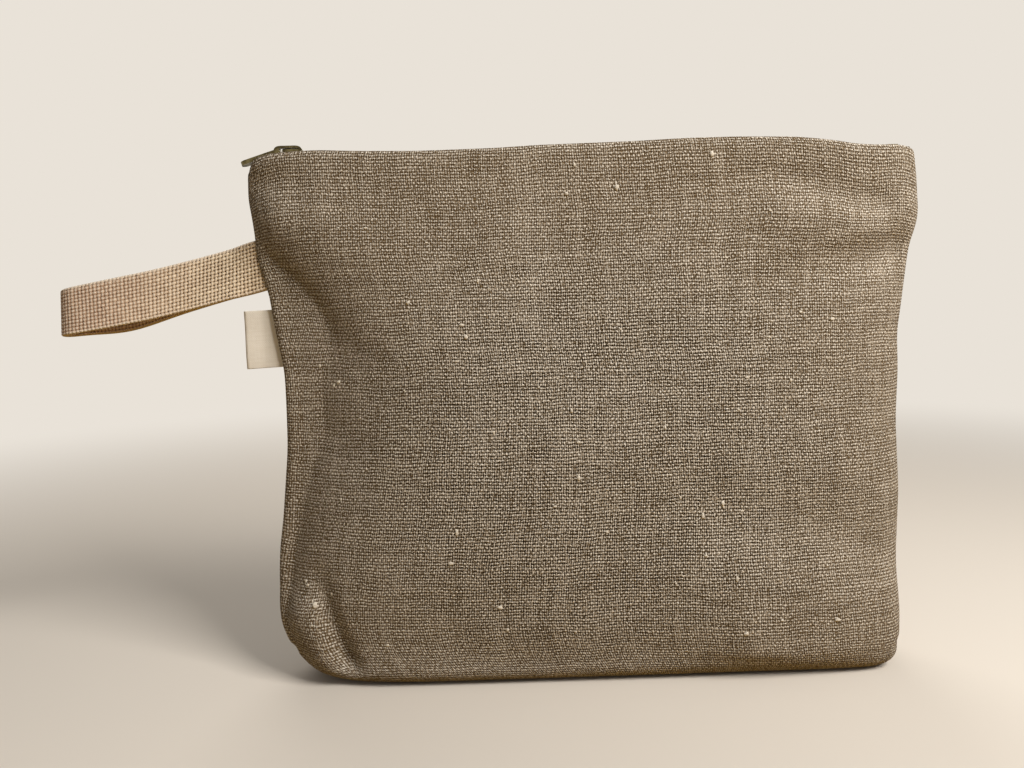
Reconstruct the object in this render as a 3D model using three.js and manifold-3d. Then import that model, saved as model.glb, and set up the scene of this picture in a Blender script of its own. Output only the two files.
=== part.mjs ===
// A zipped linen pouch with a boxed base, a webbing wrist strap and a folded side label.
// Millimetres. Seen from the front, +X is to the right. The front faces -Y, and +Z is up.
// The origin is the middle of the base, on the surface that the pouch stands on.
// The strap and the label are caught in the left side seam, and the closed zip has its slider there.

import * as THREE from 'three';
import { mergeVertices } from 'three/addons/utils/BufferGeometryUtils.js';
import Module from 'manifold-3d';

const wasm = await Module();
wasm.setup();

// Pouch body
const TOP_WIDTH = 250; // finished width along the zip
const HEIGHT = 200; // standing surface to the top edge
const BASE_DEPTH = 40; // boxed base, front to back
const BASE_EDGE_ROUND = 7; // soft edge between the base and the front and back
const BASE_END_ROUND = 13; // boxed corners turn up to the side seams over this radius
const BASE_DRAW_IN = 3; // how far each side seam is drawn in above the boxed corner
const BELLY_HEIGHT = 42; // where the filled pouch stands out most
const BELLY_BULGE = 3.5; // how far front and back stand out past the base there
const BELLY_DRAW_IN = 2.6; // how far each side seam is drawn in there
const WAIST_HEIGHT = 108; // where the side seams are drawn in most
const WAIST_BULGE = -1; // front and back there, against the edge of the base
const WAIST_DRAW_IN = 7.9; // how far each side seam is drawn in there
const RIM_DEPTH = 18; // front to back across the top edge
const ZIP_BAND = 14; // straight band at the top that the zip keeps upright
const TOP_CORNER_DROP = 5; // height over which the top corners round off
const TOP_CORNER_ROUND = 2.5; // how far they round off sideways
const CORNER_DIP = 7; // length of the dip at each end of the zip, from the side seam

// Layers of the wall, from outside to inside
const LINEN = 1.2;
const INTERLINING = 0.6;
const LINING = 0.5;
const LAYER_GAP = 0.3; // between any two layers
const SEAM_ALLOWANCE = 9; // lining stays this far inside the outer side seams

// How square the level sections are: FRONT flattens the front and back, END rounds the sides
const BASE_SECTION = { front: 6, end: 4 };
const BELLY_SECTION = { front: 3.6, end: 2.2 };
const WAIST_SECTION = { front: 3.2, end: 1.8 };
const RIM_SECTION = { front: 20, end: 2 };

// Zip
const CHAIN_DROP = 2.9; // middle of the chain below the top edge
const TAPE = 0.6;
const TAPE_TURN_DOWN = 9; // tape turned down between linen and lining
const TOOTH_PITCH = 2.5;
const TOOTH_WIDTH = 1.0; // along the row
const TOOTH_NOSE = 0.5; // taper at the tip
const TOOTH_HEIGHT = 2.2; // across the tape
const TOOTH_OVERLAP = 0.7; // how far a tip reaches past the middle of the zip
const CORD_INNER = 2.2; // edge cord of a row, from the middle of the zip
const CORD_OUTER = 3.1;
const RUNNING_GAP = 0.3; // between the slider, the chain and the tapes
const STOP_LENGTH = 2.5; // top stop, along the zip
const STOP_GRIP = 0.9; // how far a stop grips over the tape
const STOP_WALL = 0.7;
const BOTTOM_STOP_LENGTH = 4;
const BOTTOM_STOP_FROM_END = 8; // its outer end, from the side seam

// Slider
const SLIDER_FROM_END = 15; // its middle at rest, from the left side seam
const SLIDER_LENGTH = 12.6;
const SLIDER_MOUTH_WIDTH = 10.8; // where the open rows come in
const SLIDER_TAIL_WIDTH = 8.6; // where the closed chain leaves
const SLIDER_NOSE_WIDTH = 5; // flat of the rounded nose at the mouth
const SLIDER_TAIL_ROUND = 1; // corners at the tail
const SLIDER_PLATE = 1.1;
const POST_WIDTH = 3; // wedge between the two open rows
const POST_LENGTH = 4.2;
const POST_FROM_MIDDLE = 0.8; // its thin end
const THROAT_FLARE = 1.3; // how much each throat widens towards the mouth
const BRIDGE_LENGTH = 10.5;
const BRIDGE_WIDTH = 2.2;
const BRIDGE_STRIP = 0.8;
const BRIDGE_FOOT = 0.9;

// Pull tab
const PULL_LENGTH = 15.1; // swing axis to tip
const PULL_WIDTH = 5.2;
const PULL_TIP_WIDTH = 4.4;
const PULL_THICKNESS = 1.5;
const PULL_CROSSBAR = 1.2; // bar under the bridge
const PULL_EYE_LENGTH = 4.6; // swing axis to the end of the eye
const PULL_ABOVE_PLATE = 1.9; // swing axis above the slider's top plate
const PULL_SLOPE = 16.6; // degrees below level at rest

// Wrist strap
const STRAP_WIDTH = 19;
const STRAP_THICKNESS = 1.6;
const STRAP_REACH = 70.5; // swing axis to the end of the loop
const STRAP_BOW = 8; // half the loop's width, at the middle of the webbing
const STRAP_HEIGHT = 159.5; // middle of the strap at its swing axis
const STRAP_SLOPE = 11.5; // degrees down to the left
const STRAP_PROUD = 2; // sewn ends showing outside the seam

// Side label
const LABEL_WIDTH = 22;
const LABEL_THICKNESS = 0.5;
const LABEL_REACH = 8.7;
const LABEL_BOW = 0.9;
const LABEL_HEIGHT = 132;
const LABEL_SLOPE = 2;
const LABEL_PROUD = 1;

// What the strap and the label share where they are caught in the seam
const TAIL_LENGTH = 7; // sewn ends inside the seam
const FOLD_GAP = 0.4; // between the two layers of a folded strip
const SWING_GAP = 0.5; // between the swinging loop and its sewn ends

// Facets
const SECTION_POINTS = 32; // round a level section of the body
const EDGE_STEPS = 4; // up the round of the base
const WALL_STEPS = 6; // from the boxed corner to the zip band
const LEG_STEPS = 7; // along one leg of a folded strip
const BEND_STEPS = 10; // round the far end of a folded strip, and round its sewn ends
const ARC_STEPS = 6; // round each curve of the slider and the pull
const WELD = 1e-4; // points closer than this are one

// Places that follow from the sizes above
const HALF_WIDTH = TOP_WIDTH / 2;
const WELL_CLEAR = TOP_WIDTH; // reach of cutting blocks past the body
const SECOND_LAYER = LINEN + LAYER_GAP; // interlining, and the turned-down tape
const LINING_LAYER = SECOND_LAYER + Math.max(INTERLINING, TAPE) + LAYER_GAP;
const CHAIN_Z = HEIGHT - CHAIN_DROP;
const TAPE_INNER = CORD_OUTER + LAYER_GAP;
const CHANNEL_HALF_HEIGHT = TOOTH_HEIGHT / 2 + RUNNING_GAP;
const PLATE_TOP = CHANNEL_HALF_HEIGHT + SLIDER_PLATE; // above the middle of the chain
const TAPE_SLOT = TAPE / 2 + RUNNING_GAP; // half the height of a slot that a tape runs in
const SLIDER_X = SLIDER_FROM_END - HALF_WIDTH;
const CHAIN_START = SLIDER_X - POST_FROM_MIDDLE / 2;
const BOTTOM_STOP_END = HALF_WIDTH - BOTTOM_STOP_FROM_END;
const CHAIN_END = BOTTOM_STOP_END - BOTTOM_STOP_LENGTH - RUNNING_GAP;
const PULL_AXIS_X = PULL_CROSSBAR + BRIDGE_FOOT - BRIDGE_LENGTH / 2; // from the slider's middle
const PULL_AXIS_Z = PLATE_TOP + PULL_ABOVE_PLATE; // above the middle of the chain
const CROSSBAR_SWEEP = Math.hypot(PULL_CROSSBAR, PULL_THICKNESS) / 2;
const BRIDGE_WINDOW = PULL_ABOVE_PLATE + CROSSBAR_SWEEP + RUNNING_GAP;
const EYE_HALF_WIDTH = BRIDGE_WIDTH / 2 + RUNNING_GAP;
const SLOPE_RATIO = Math.tan(THREE.MathUtils.degToRad(PULL_SLOPE));

// Solid helpers

function toSolid(geometry) {
  const bare = geometry.clone();
  bare.deleteAttribute('normal');
  bare.deleteAttribute('uv');
  const merged = mergeVertices(bare, WELD);
  return new wasm.Manifold(new wasm.Mesh({
    numProp: 3,
    vertProperties: new Float32Array(merged.attributes.position.array),
    triVerts: new Uint32Array(merged.index.array),
  }));
}

function toGeometry(solid) {
  const { vertProperties, triVerts } = solid.getMesh();
  const geometry = new THREE.BufferGeometry();
  geometry.setAttribute('position', new THREE.BufferAttribute(vertProperties, 3));
  geometry.setIndex(new THREE.BufferAttribute(triVerts, 1));
  geometry.computeVertexNormals();
  return geometry;
}

function block([x0, x1], [y0, y1], [z0, z1]) {
  const box = new THREE.BoxGeometry(x1 - x0, y1 - y0, z1 - z0);
  return toSolid(box.translate((x0 + x1) / 2, (y0 + y1) / 2, (z0 + z1) / 2));
}

// A plan outline raised from z = low to z = high
function raise(outline, low, high) {
  const shape = outline instanceof THREE.Shape ? outline : new THREE.Shape(outline);
  const settings = { depth: high - low, bevelEnabled: false, curveSegments: ARC_STEPS };
  return new THREE.ExtrudeGeometry(shape, settings).translate(0, 0, low);
}

// An outline in the XZ plane, spread evenly to both sides of y = 0
function spread(shape, width) {
  const settings = { depth: width, bevelEnabled: false, curveSegments: ARC_STEPS };
  return new THREE.ExtrudeGeometry(shape, settings).rotateX(Math.PI / 2).translate(0, width / 2, 0);
}

// A closed solid through level rings of equal point counts, lowest first
function loft(rings) {
  const count = rings[0].length;
  const points = rings.flat();
  const bottom = points.length;
  const top = bottom + 1;
  points.push(new THREE.Vector3(0, 0, rings[0][0].z), new THREE.Vector3(0, 0, rings.at(-1)[0].z));
  const faces = [];
  for (let i = 0; i < count; i++) {
    const next = (i + 1) % count;
    faces.push(bottom, next, i);
    for (let ring = 0; ring + 1 < rings.length; ring++) {
      const a = ring * count;
      const b = a + count;
      faces.push(a + i, a + next, b + next, a + i, b + next, b + i);
    }
    const last = (rings.length - 1) * count;
    faces.push(top, last + i, last + next);
  }
  const geometry = new THREE.BufferGeometry().setFromPoints(points);
  geometry.setIndex(faces);
  return toSolid(geometry);
}

// Pouch body

function station(z, halfWidth, halfDepth, section) {
  return { z, halfWidth, halfDepth, ...section };
}

// How far a rounded lower edge lies inside the wall at a height
function roundInset(z, radius) {
  const below = Math.max(radius - z, 0);
  return radius - Math.sqrt(radius * radius - below * below);
}

// Level sections of the outer surface, from the flat of the base to the top edge
function bodyStations() {
  const baseHalfWidth = HALF_WIDTH - BASE_DRAW_IN;
  const base = [];
  for (let step = 0; step < EDGE_STEPS; step++) {
    const turn = (step / EDGE_STEPS) * (Math.PI / 2);
    const z = BASE_END_ROUND * (1 - Math.cos(turn));
    const halfWidth = baseHalfWidth - roundInset(z, BASE_END_ROUND);
    base.push(station(z, halfWidth, BASE_DEPTH / 2 - roundInset(z, BASE_EDGE_ROUND), BASE_SECTION));
  }
  const drawn = [
    station(BASE_END_ROUND, baseHalfWidth, BASE_DEPTH / 2, BASE_SECTION),
    station(BELLY_HEIGHT, HALF_WIDTH - BELLY_DRAW_IN, BASE_DEPTH / 2 + BELLY_BULGE, BELLY_SECTION),
    station(WAIST_HEIGHT, HALF_WIDTH - WAIST_DRAW_IN, BASE_DEPTH / 2 + WAIST_BULGE, WAIST_SECTION),
    station(HEIGHT - ZIP_BAND, HALF_WIDTH, RIM_DEPTH / 2, RIM_SECTION),
  ];
  const through = (pick) => new THREE.CatmullRomCurve3(drawn.map(pick), false, 'catmullrom').getPoints(WALL_STEPS);
  const sizes = through((s) => new THREE.Vector3(s.z, s.halfWidth, s.halfDepth));
  const squareness = through((s) => new THREE.Vector3(s.z, s.front, s.end));
  const wall = sizes.map((size, i) =>
    station(size.x, size.y, size.z, { front: squareness[i].y, end: squareness[i].z }));
  const rim = [
    station(HEIGHT - TOP_CORNER_DROP, HALF_WIDTH, RIM_DEPTH / 2, RIM_SECTION),
    station(HEIGHT, HALF_WIDTH - TOP_CORNER_ROUND, RIM_DEPTH / 2, RIM_SECTION),
  ];
  return [...base, ...wall, ...rim];
}

const STATIONS = bodyStations();

// Half the width at a height, on the side seam
function seamAt(z) {
  const above = STATIONS.findIndex((s) => s.z >= z);
  const low = STATIONS[above - 1];
  const high = STATIONS[above];
  return THREE.MathUtils.mapLinear(z, low.z, high.z, low.halfWidth, high.halfWidth);
}

// One level ring, drawn as a superellipse
function sectionRing({ halfWidth, halfDepth, front, end }, z) {
  const ring = [];
  for (let i = 0; i < SECTION_POINTS; i++) {
    const turn = (i / SECTION_POINTS) * 2 * Math.PI;
    const across = Math.abs(Math.cos(turn)) ** (2 / front);
    const deep = i % (SECTION_POINTS / 2) === 0 ? 0 : Math.abs(Math.sin(turn)) ** (2 / end);
    const level = i % (SECTION_POINTS / 2) === SECTION_POINTS / 4;
    const x = level ? 0 : Math.sign(Math.cos(turn)) * halfWidth * across;
    ring.push(new THREE.Vector3(x, Math.sign(Math.sin(turn)) * halfDepth * deep, z));
  }
  return ring;
}

// The body drawn in by one thickness all round, and further at the side seams.
// It ends above the top edge where it is used to hollow out another body.
function innerBody(inset, endInset, riseAbove) {
  const rings = STATIONS.map((s) => {
    const drawnIn = { ...s, halfWidth: s.halfWidth - inset - endInset, halfDepth: s.halfDepth - inset };
    return sectionRing(drawnIn, inset + (s.z * (HEIGHT - inset)) / HEIGHT);
  });
  if (riseAbove > 0) {
    const top = rings.at(-1);
    rings.push(top.map((point) => new THREE.Vector3(point.x, point.y, HEIGHT + riseAbove)));
  }
  return loft(rings);
}

// An open-topped layer of the wall, from one depth under the outer surface to another
function wallLayer(outside, thickness, endInset) {
  return innerBody(outside, endInset, 0).subtract(innerBody(outside + thickness, endInset, HEIGHT));
}

function halfSpace(side, low, high) {
  const depth = side < 0 ? [-WELL_CLEAR, 0] : [0, WELL_CLEAR];
  return block([-WELL_CLEAR, WELL_CLEAR], depth, [low, high]);
}

// The zip's ends dip into the side seams, which leaves room for the pull over the corner
function cornerDips() {
  const inner = HALF_WIDTH - CORNER_DIP;
  const reach = PULL_WIDTH / 2 + LAYER_GAP;
  const overhang = HALF_WIDTH + SLIDER_X + PULL_AXIS_X;
  const underPull = CHAIN_Z + PULL_AXIS_Z - overhang * SLOPE_RATIO - PULL_THICKNESS;
  const span = [underPull, HEIGHT + WELL_CLEAR];
  return block([-WELL_CLEAR, -inner], [-reach, reach], span)
    .add(block([inner, WELL_CLEAR], [-reach, reach], span));
}

// Folded strips caught in the left side seam

// Plan of a strip folded into a loop. It runs out along +X from its swing axis,
// and its two ends are rounded about that axis.
function foldedPlan({ thickness, reach, bow }) {
  const legMiddle = (FOLD_GAP + thickness) / 2;
  const endRadius = FOLD_GAP / 2 + thickness;
  const bendAt = reach - bow - thickness / 2;
  const together = bendAt / 3; // the legs leave the seam lying together
  const apart = bendAt / 2; // and reach the bend lying parallel
  const leg = new THREE.CubicBezierCurve(
    new THREE.Vector2(0, legMiddle),
    new THREE.Vector2(together, legMiddle),
    new THREE.Vector2(apart, bow),
    new THREE.Vector2(bendAt, bow),
  );
  const outer = [];
  const inner = [];
  for (let i = 0; i < LEG_STEPS; i++) {
    const at = leg.getPoint(i / LEG_STEPS);
    const along = leg.getTangent(i / LEG_STEPS);
    const out = new THREE.Vector2(-along.y, along.x).multiplyScalar(thickness / 2);
    outer.push(at.clone().add(out));
    inner.push(at.clone().sub(out));
  }
  for (let i = 0; i <= BEND_STEPS / 2; i++) {
    const turn = (Math.PI / 2) * (1 - i / (BEND_STEPS / 2));
    const out = new THREE.Vector2(Math.cos(turn), Math.sin(turn));
    outer.push(new THREE.Vector2(bendAt, 0).addScaledVector(out, bow + thickness / 2));
    inner.push(new THREE.Vector2(bendAt, 0).addScaledVector(out, bow - thickness / 2));
  }
  const endTurn = Math.asin(FOLD_GAP / 2 / endRadius);
  const roundEnd = [0.5, 0].map((share) => {
    const turn = Math.PI - endTurn - share * (Math.PI / 2 - endTurn);
    return new THREE.Vector2(Math.cos(turn), Math.sin(turn)).multiplyScalar(endRadius);
  });
  const mirrored = (points) => points.map((p) => new THREE.Vector2(p.x, -p.y));
  const upper = [roundEnd[1], roundEnd[0], ...outer];
  return [
    ...upper,
    ...mirrored(upper).reverse().slice(1),
    ...mirrored(inner).slice(1),
    ...inner.slice(1, -1).reverse(),
  ];
}

const STRAP = {
  width: STRAP_WIDTH, thickness: STRAP_THICKNESS, reach: STRAP_REACH, bow: STRAP_BOW,
  height: STRAP_HEIGHT, slope: STRAP_SLOPE, proud: STRAP_PROUD,
};
const LABEL = {
  width: LABEL_WIDTH, thickness: LABEL_THICKNESS, reach: LABEL_REACH, bow: LABEL_BOW,
  height: LABEL_HEIGHT, slope: LABEL_SLOPE, proud: LABEL_PROUD,
};

// Height of a sloping strip, measured upright
function uprightWidth({ width, slope }) {
  return width / Math.cos(THREE.MathUtils.degToRad(slope));
}

// The sewn ends start this far left of the middle
function tailFace(strip) {
  const half = uprightWidth(strip) / 2;
  const seam = Math.max(seamAt(strip.height - half), seamAt(strip.height), seamAt(strip.height + half));
  return seam + strip.proud;
}

function swingAxis(strip) {
  return tailFace(strip) + SWING_GAP + FOLD_GAP / 2 + strip.thickness;
}

// Slopes a strip down to the left from its swing axis, with its ends kept upright, and puts it in place
function placeStrip(geometry, strip) {
  const rise = Math.tan(THREE.MathUtils.degToRad(strip.slope));
  const shear = new THREE.Matrix4().makeShear(0, rise, 0, 0, 0, 0);
  return geometry.applyMatrix4(shear).translate(-swingAxis(strip), 0, strip.height);
}

function stripLoop(strip) {
  const half = uprightWidth(strip) / 2;
  const plan = foldedPlan(strip).map((p) => new THREE.Vector2(-p.x, p.y));
  return placeStrip(raise(plan, -half, half), strip);
}

// Both sewn ends of a strip, lying flat together in the seam, with room round them if it is a slot.
// They are rounded outside the seam, where the loop swings round them.
function stripTail(strip, room) {
  const half = uprightWidth(strip) / 2 + room;
  const side = FOLD_GAP / 2 + strip.thickness + room;
  const start = swingAxis(strip) - tailFace(strip) - room;
  const end = start + strip.proud + TAIL_LENGTH + 2 * room;
  const plan = [new THREE.Vector2(end, -side), new THREE.Vector2(end, side)];
  for (let i = 0; i <= BEND_STEPS; i++) {
    const turn = Math.PI / 2 + (i / BEND_STEPS) * Math.PI;
    plan.push(new THREE.Vector2(start + side + side * Math.cos(turn), side * Math.sin(turn)));
  }
  return placeStrip(raise(plan, -half, half), strip);
}

function seamSlots() {
  return toSolid(stripTail(STRAP, LAYER_GAP)).add(toSolid(stripTail(LABEL, LAYER_GAP)));
}

// Panels

function outerPanel(side) {
  const shell = wallLayer(0, LINEN, 0).subtract(cornerDips()).subtract(seamSlots());
  return toGeometry(shell.intersect(halfSpace(side, 0, HEIGHT)));
}

function interliningPanel(side) {
  const top = CHAIN_Z - TAPE_TURN_DOWN - LAYER_GAP;
  return toGeometry(wallLayer(SECOND_LAYER, INTERLINING, SEAM_ALLOWANCE).intersect(halfSpace(side, 0, top)));
}

function liningPanel(side) {
  const top = CHAIN_Z - TAPE / 2 - LAYER_GAP;
  const run = SLIDER_MOUTH_WIDTH / 2 + RUNNING_GAP;
  const runBelow = CHAIN_Z - PLATE_TOP - RUNNING_GAP;
  const sliderRun = block([-WELL_CLEAR, WELL_CLEAR], [-run, run], [runBelow, HEIGHT]);
  const shell = wallLayer(LINING_LAYER, LINING, SEAM_ALLOWANCE).subtract(sliderRun);
  return toGeometry(shell.intersect(halfSpace(side, 0, top)));
}

// Zip

// Level strip beside the teeth, turned down along the wall
function zipTape(side) {
  const within = innerBody(SECOND_LAYER, 0, 0);
  const depth = side < 0 ? [-WELL_CLEAR, -TAPE_INNER] : [TAPE_INNER, WELL_CLEAR];
  const across = [-WELL_CLEAR, WELL_CLEAR];
  const level = within.intersect(block(across, depth, [CHAIN_Z - TAPE / 2, CHAIN_Z + TAPE / 2]));
  const turned = wallLayer(SECOND_LAYER, TAPE, 0)
    .intersect(block(across, depth, [CHAIN_Z - TAPE_TURN_DOWN, CHAIN_Z]));
  return toGeometry(level.add(turned));
}

// A corded edge with its teeth. The back row sits half a pitch along, so that the tips interlock.
function zipTeeth(side) {
  const first = CHAIN_START + TOOTH_WIDTH / 2 + (side > 0 ? TOOTH_PITCH / 2 : 0);
  const count = Math.floor((CHAIN_END - TOOTH_WIDTH / 2 - first) / TOOTH_PITCH) + 1;
  const from = (distance) => side * distance;
  const outline = [new THREE.Vector2(CHAIN_END, from(CORD_INNER)), new THREE.Vector2(CHAIN_END, from(CORD_OUTER)),
    new THREE.Vector2(CHAIN_START, from(CORD_OUTER)), new THREE.Vector2(CHAIN_START, from(CORD_INNER))];
  for (let i = 0; i < count; i++) {
    const x = first + i * TOOTH_PITCH;
    const half = TOOTH_WIDTH / 2;
    const tip = -TOOTH_OVERLAP;
    outline.push(
      new THREE.Vector2(x - half, from(CORD_INNER)),
      new THREE.Vector2(x - half, from(tip + TOOTH_NOSE)),
      new THREE.Vector2(x - half / 2, from(tip)),
      new THREE.Vector2(x + half / 2, from(tip)),
      new THREE.Vector2(x + half, from(tip + TOOTH_NOSE)),
      new THREE.Vector2(x + half, from(CORD_INNER)),
    );
  }
  return raise(outline, CHAIN_Z - TOOTH_HEIGHT / 2, CHAIN_Z + TOOTH_HEIGHT / 2);
}

// Block round the inner edge of one or both tapes, with a slot for each tape it grips
function gripStop([x0, x1], [y0, y1], sides) {
  const half = TAPE_SLOT + STOP_WALL;
  let stop = block([x0, x1], [y0, y1], [CHAIN_Z - half, CHAIN_Z + half]);
  for (const side of sides) {
    const slot = side < 0 ? [-WELL_CLEAR, -CORD_OUTER] : [CORD_OUTER, WELL_CLEAR];
    const across = [-WELL_CLEAR, WELL_CLEAR];
    stop = stop.subtract(block(across, slot, [CHAIN_Z - TAPE_SLOT, CHAIN_Z + TAPE_SLOT]));
  }
  return toGeometry(stop);
}

function topStop(side) {
  const end = SLIDER_X - SLIDER_LENGTH / 2 - RUNNING_GAP;
  const depth = [side * CORD_INNER, side * (TAPE_INNER + STOP_GRIP)].sort((a, b) => a - b);
  return gripStop([end - STOP_LENGTH, end], depth, [side]);
}

function bottomStop() {
  const reach = TAPE_INNER + STOP_GRIP;
  return gripStop([BOTTOM_STOP_END - BOTTOM_STOP_LENGTH, BOTTOM_STOP_END], [-reach, reach], [-1, 1]);
}

// Plan of a slider plate: wide rounded mouth to the left, narrower tail to the right
function platePlan() {
  const half = SLIDER_LENGTH / 2;
  const shoulder = -half / 2;
  const tail = SLIDER_TAIL_WIDTH / 2;
  const round = SLIDER_TAIL_ROUND;
  const plan = new THREE.Shape();
  plan.moveTo(half, round - tail);
  plan.lineTo(half, tail - round);
  plan.quadraticCurveTo(half, tail, half - round, tail);
  plan.lineTo(shoulder, SLIDER_MOUTH_WIDTH / 2);
  plan.quadraticCurveTo(-half, SLIDER_MOUTH_WIDTH / 2, -half, SLIDER_NOSE_WIDTH / 2);
  plan.lineTo(-half, -SLIDER_NOSE_WIDTH / 2);
  plan.quadraticCurveTo(-half, -SLIDER_MOUTH_WIDTH / 2, shoulder, -SLIDER_MOUTH_WIDTH / 2);
  plan.lineTo(half - round, -tail);
  plan.quadraticCurveTo(half, -tail, half, round - tail);
  return plan;
}

// Two plates joined by the wedge-shaped post, with lips that hold the chain in
function sliderBody() {
  const past = SLIDER_LENGTH;
  const chain = CORD_OUTER + RUNNING_GAP;
  const flared = chain + (THROAT_FLARE * past) / (SLIDER_LENGTH / 2);
  const throat = [
    new THREE.Vector2(past, -chain), new THREE.Vector2(past, chain), new THREE.Vector2(0, chain),
    new THREE.Vector2(-past, flared), new THREE.Vector2(-past, -flared), new THREE.Vector2(0, -chain),
  ];
  const thin = -POST_FROM_MIDDLE;
  const thick = thin - POST_LENGTH;
  const post = new THREE.Shape();
  post.moveTo(thin, 0);
  post.lineTo(thick + POST_WIDTH / 2, POST_WIDTH / 2);
  post.absarc(thick + POST_WIDTH / 2, 0, POST_WIDTH / 2, Math.PI / 2, (3 * Math.PI) / 2, false);
  post.closePath();
  const inside = CHANNEL_HALF_HEIGHT;
  const channel = toSolid(raise(throat, -inside, inside)).subtract(toSolid(raise(post, -2 * inside, 2 * inside)));
  const slots = block([-past, past], [CORD_OUTER, past], [-TAPE_SLOT, TAPE_SLOT])
    .add(block([-past, past], [-past, -CORD_OUTER], [-TAPE_SLOT, TAPE_SLOT]));
  return toGeometry(toSolid(raise(platePlan(), -PLATE_TOP, PLATE_TOP)).subtract(channel).subtract(slots));
}

// Arched strip that stands on the top plate
function sliderBridge() {
  const half = BRIDGE_LENGTH / 2;
  const top = BRIDGE_WINDOW + BRIDGE_STRIP;
  const arch = new THREE.Shape();
  arch.moveTo(half, 0);
  arch.lineTo(half, top / 2);
  arch.quadraticCurveTo(half, top, half / 2, top);
  arch.lineTo(-half / 2, top);
  arch.quadraticCurveTo(-half, top, -half, top / 2);
  arch.lineTo(-half, 0);
  arch.lineTo(-half + BRIDGE_FOOT, 0);
  arch.lineTo(-half + BRIDGE_FOOT, top / 2);
  arch.quadraticCurveTo(-half + BRIDGE_FOOT, BRIDGE_WINDOW, -half / 2, BRIDGE_WINDOW);
  arch.lineTo(half / 2, BRIDGE_WINDOW);
  arch.quadraticCurveTo(half - BRIDGE_FOOT, BRIDGE_WINDOW, half - BRIDGE_FOOT, top / 2);
  arch.lineTo(half - BRIDGE_FOOT, 0);
  arch.closePath();
  return spread(arch, BRIDGE_WIDTH).translate(0, 0, PLATE_TOP);
}

// Flat tab with an eye whose crossbar lies under the bridge. It points to -X from its swing axis.
function pullTab() {
  const back = PULL_CROSSBAR / 2;
  const tab = new THREE.Shape();
  tab.moveTo(back, -PULL_WIDTH / 2);
  tab.lineTo(back, PULL_WIDTH / 2);
  tab.lineTo(-PULL_EYE_LENGTH, PULL_WIDTH / 2);
  tab.lineTo(PULL_TIP_WIDTH / 2 - PULL_LENGTH, PULL_TIP_WIDTH / 2);
  tab.absarc(PULL_TIP_WIDTH / 2 - PULL_LENGTH, 0, PULL_TIP_WIDTH / 2, Math.PI / 2, (3 * Math.PI) / 2, false);
  tab.lineTo(-PULL_EYE_LENGTH, -PULL_WIDTH / 2);
  tab.closePath();
  const eye = new THREE.Path();
  eye.moveTo(-back, -EYE_HALF_WIDTH);
  eye.lineTo(-PULL_EYE_LENGTH, -EYE_HALF_WIDTH);
  eye.lineTo(-PULL_EYE_LENGTH, EYE_HALF_WIDTH);
  eye.lineTo(-back, EYE_HALF_WIDTH);
  eye.closePath();
  tab.holes.push(eye);
  return raise(tab, -PULL_THICKNESS / 2, PULL_THICKNESS / 2);
}

// Assembly

const LINEN_GREY = { color: 0x87786a, roughness: 0.95, metalness: 0 };
const LINING_CREAM = { color: 0xd9cfbd, roughness: 0.95, metalness: 0 };
const STIFFENER_WHITE = { color: 0xe6e2d8, roughness: 1, metalness: 0 };
const WEBBING_BEIGE = { color: 0xb0977d, roughness: 0.9, metalness: 0 };
const LABEL_CREAM = { color: 0xcfc0ab, roughness: 0.9, metalness: 0 };
const TAPE_TAUPE = { color: 0x7d6f60, roughness: 0.9, metalness: 0 };
const ANTIQUE_BRASS = { color: 0x8a7a55, roughness: 0.42, metalness: 1 };

function piece(name, geometry, finish) {
  const mesh = new THREE.Mesh(geometry, new THREE.MeshStandardMaterial(finish));
  mesh.name = name;
  return mesh;
}

function bagPieces() {
  const body = new THREE.Group();
  for (const [place, side] of [['front', -1], ['back', 1]]) {
    body.add(
      piece(`outer_${place}_panel`, outerPanel(side), LINEN_GREY),
      piece(`interlining_${place}`, interliningPanel(side), STIFFENER_WHITE),
      piece(`lining_${place}_panel`, liningPanel(side), LINING_CREAM),
      piece(`zip_tape_${place}`, zipTape(side), TAPE_TAUPE),
      piece(`zip_teeth_${place}`, zipTeeth(side), ANTIQUE_BRASS),
      piece(`zip_top_stop_${place}`, topStop(side), ANTIQUE_BRASS),
    );
  }
  body.add(
    piece('zip_bottom_stop', bottomStop(), ANTIQUE_BRASS),
    piece('wrist_strap_tail', stripTail(STRAP, 0), WEBBING_BEIGE),
    piece('side_label_tail', stripTail(LABEL, 0), LABEL_CREAM),
  );
  return body;
}

function sliderPieces() {
  const slider = new THREE.Group();
  slider.position.set(SLIDER_X, 0, CHAIN_Z);
  const pull = piece('zip_pull_tab', pullTab(), ANTIQUE_BRASS);
  pull.position.set(PULL_AXIS_X, 0, PULL_AXIS_Z);
  pull.rotation.y = -THREE.MathUtils.degToRad(PULL_SLOPE);
  slider.add(
    piece('zip_slider_body', sliderBody(), ANTIQUE_BRASS),
    piece('zip_slider_bridge', sliderBridge(), ANTIQUE_BRASS),
    pull,
  );
  return slider;
}

const pouch = new THREE.Group();
pouch.add(
  bagPieces(),
  sliderPieces(),
  piece('wrist_strap', stripLoop(STRAP), WEBBING_BEIGE),
  piece('side_label', stripLoop(LABEL), LABEL_CREAM),
);

export default pouch;
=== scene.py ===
# A linen zip pouch: the imported solids dressed with cloth, webbing, a zip and a bare label.
# Tables and sizes are in millimetres in the part's frame: +X right, -Y out of the front, +Z up.

import math

import bpy
import numpy as np
from mathutils import Matrix, Vector


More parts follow.
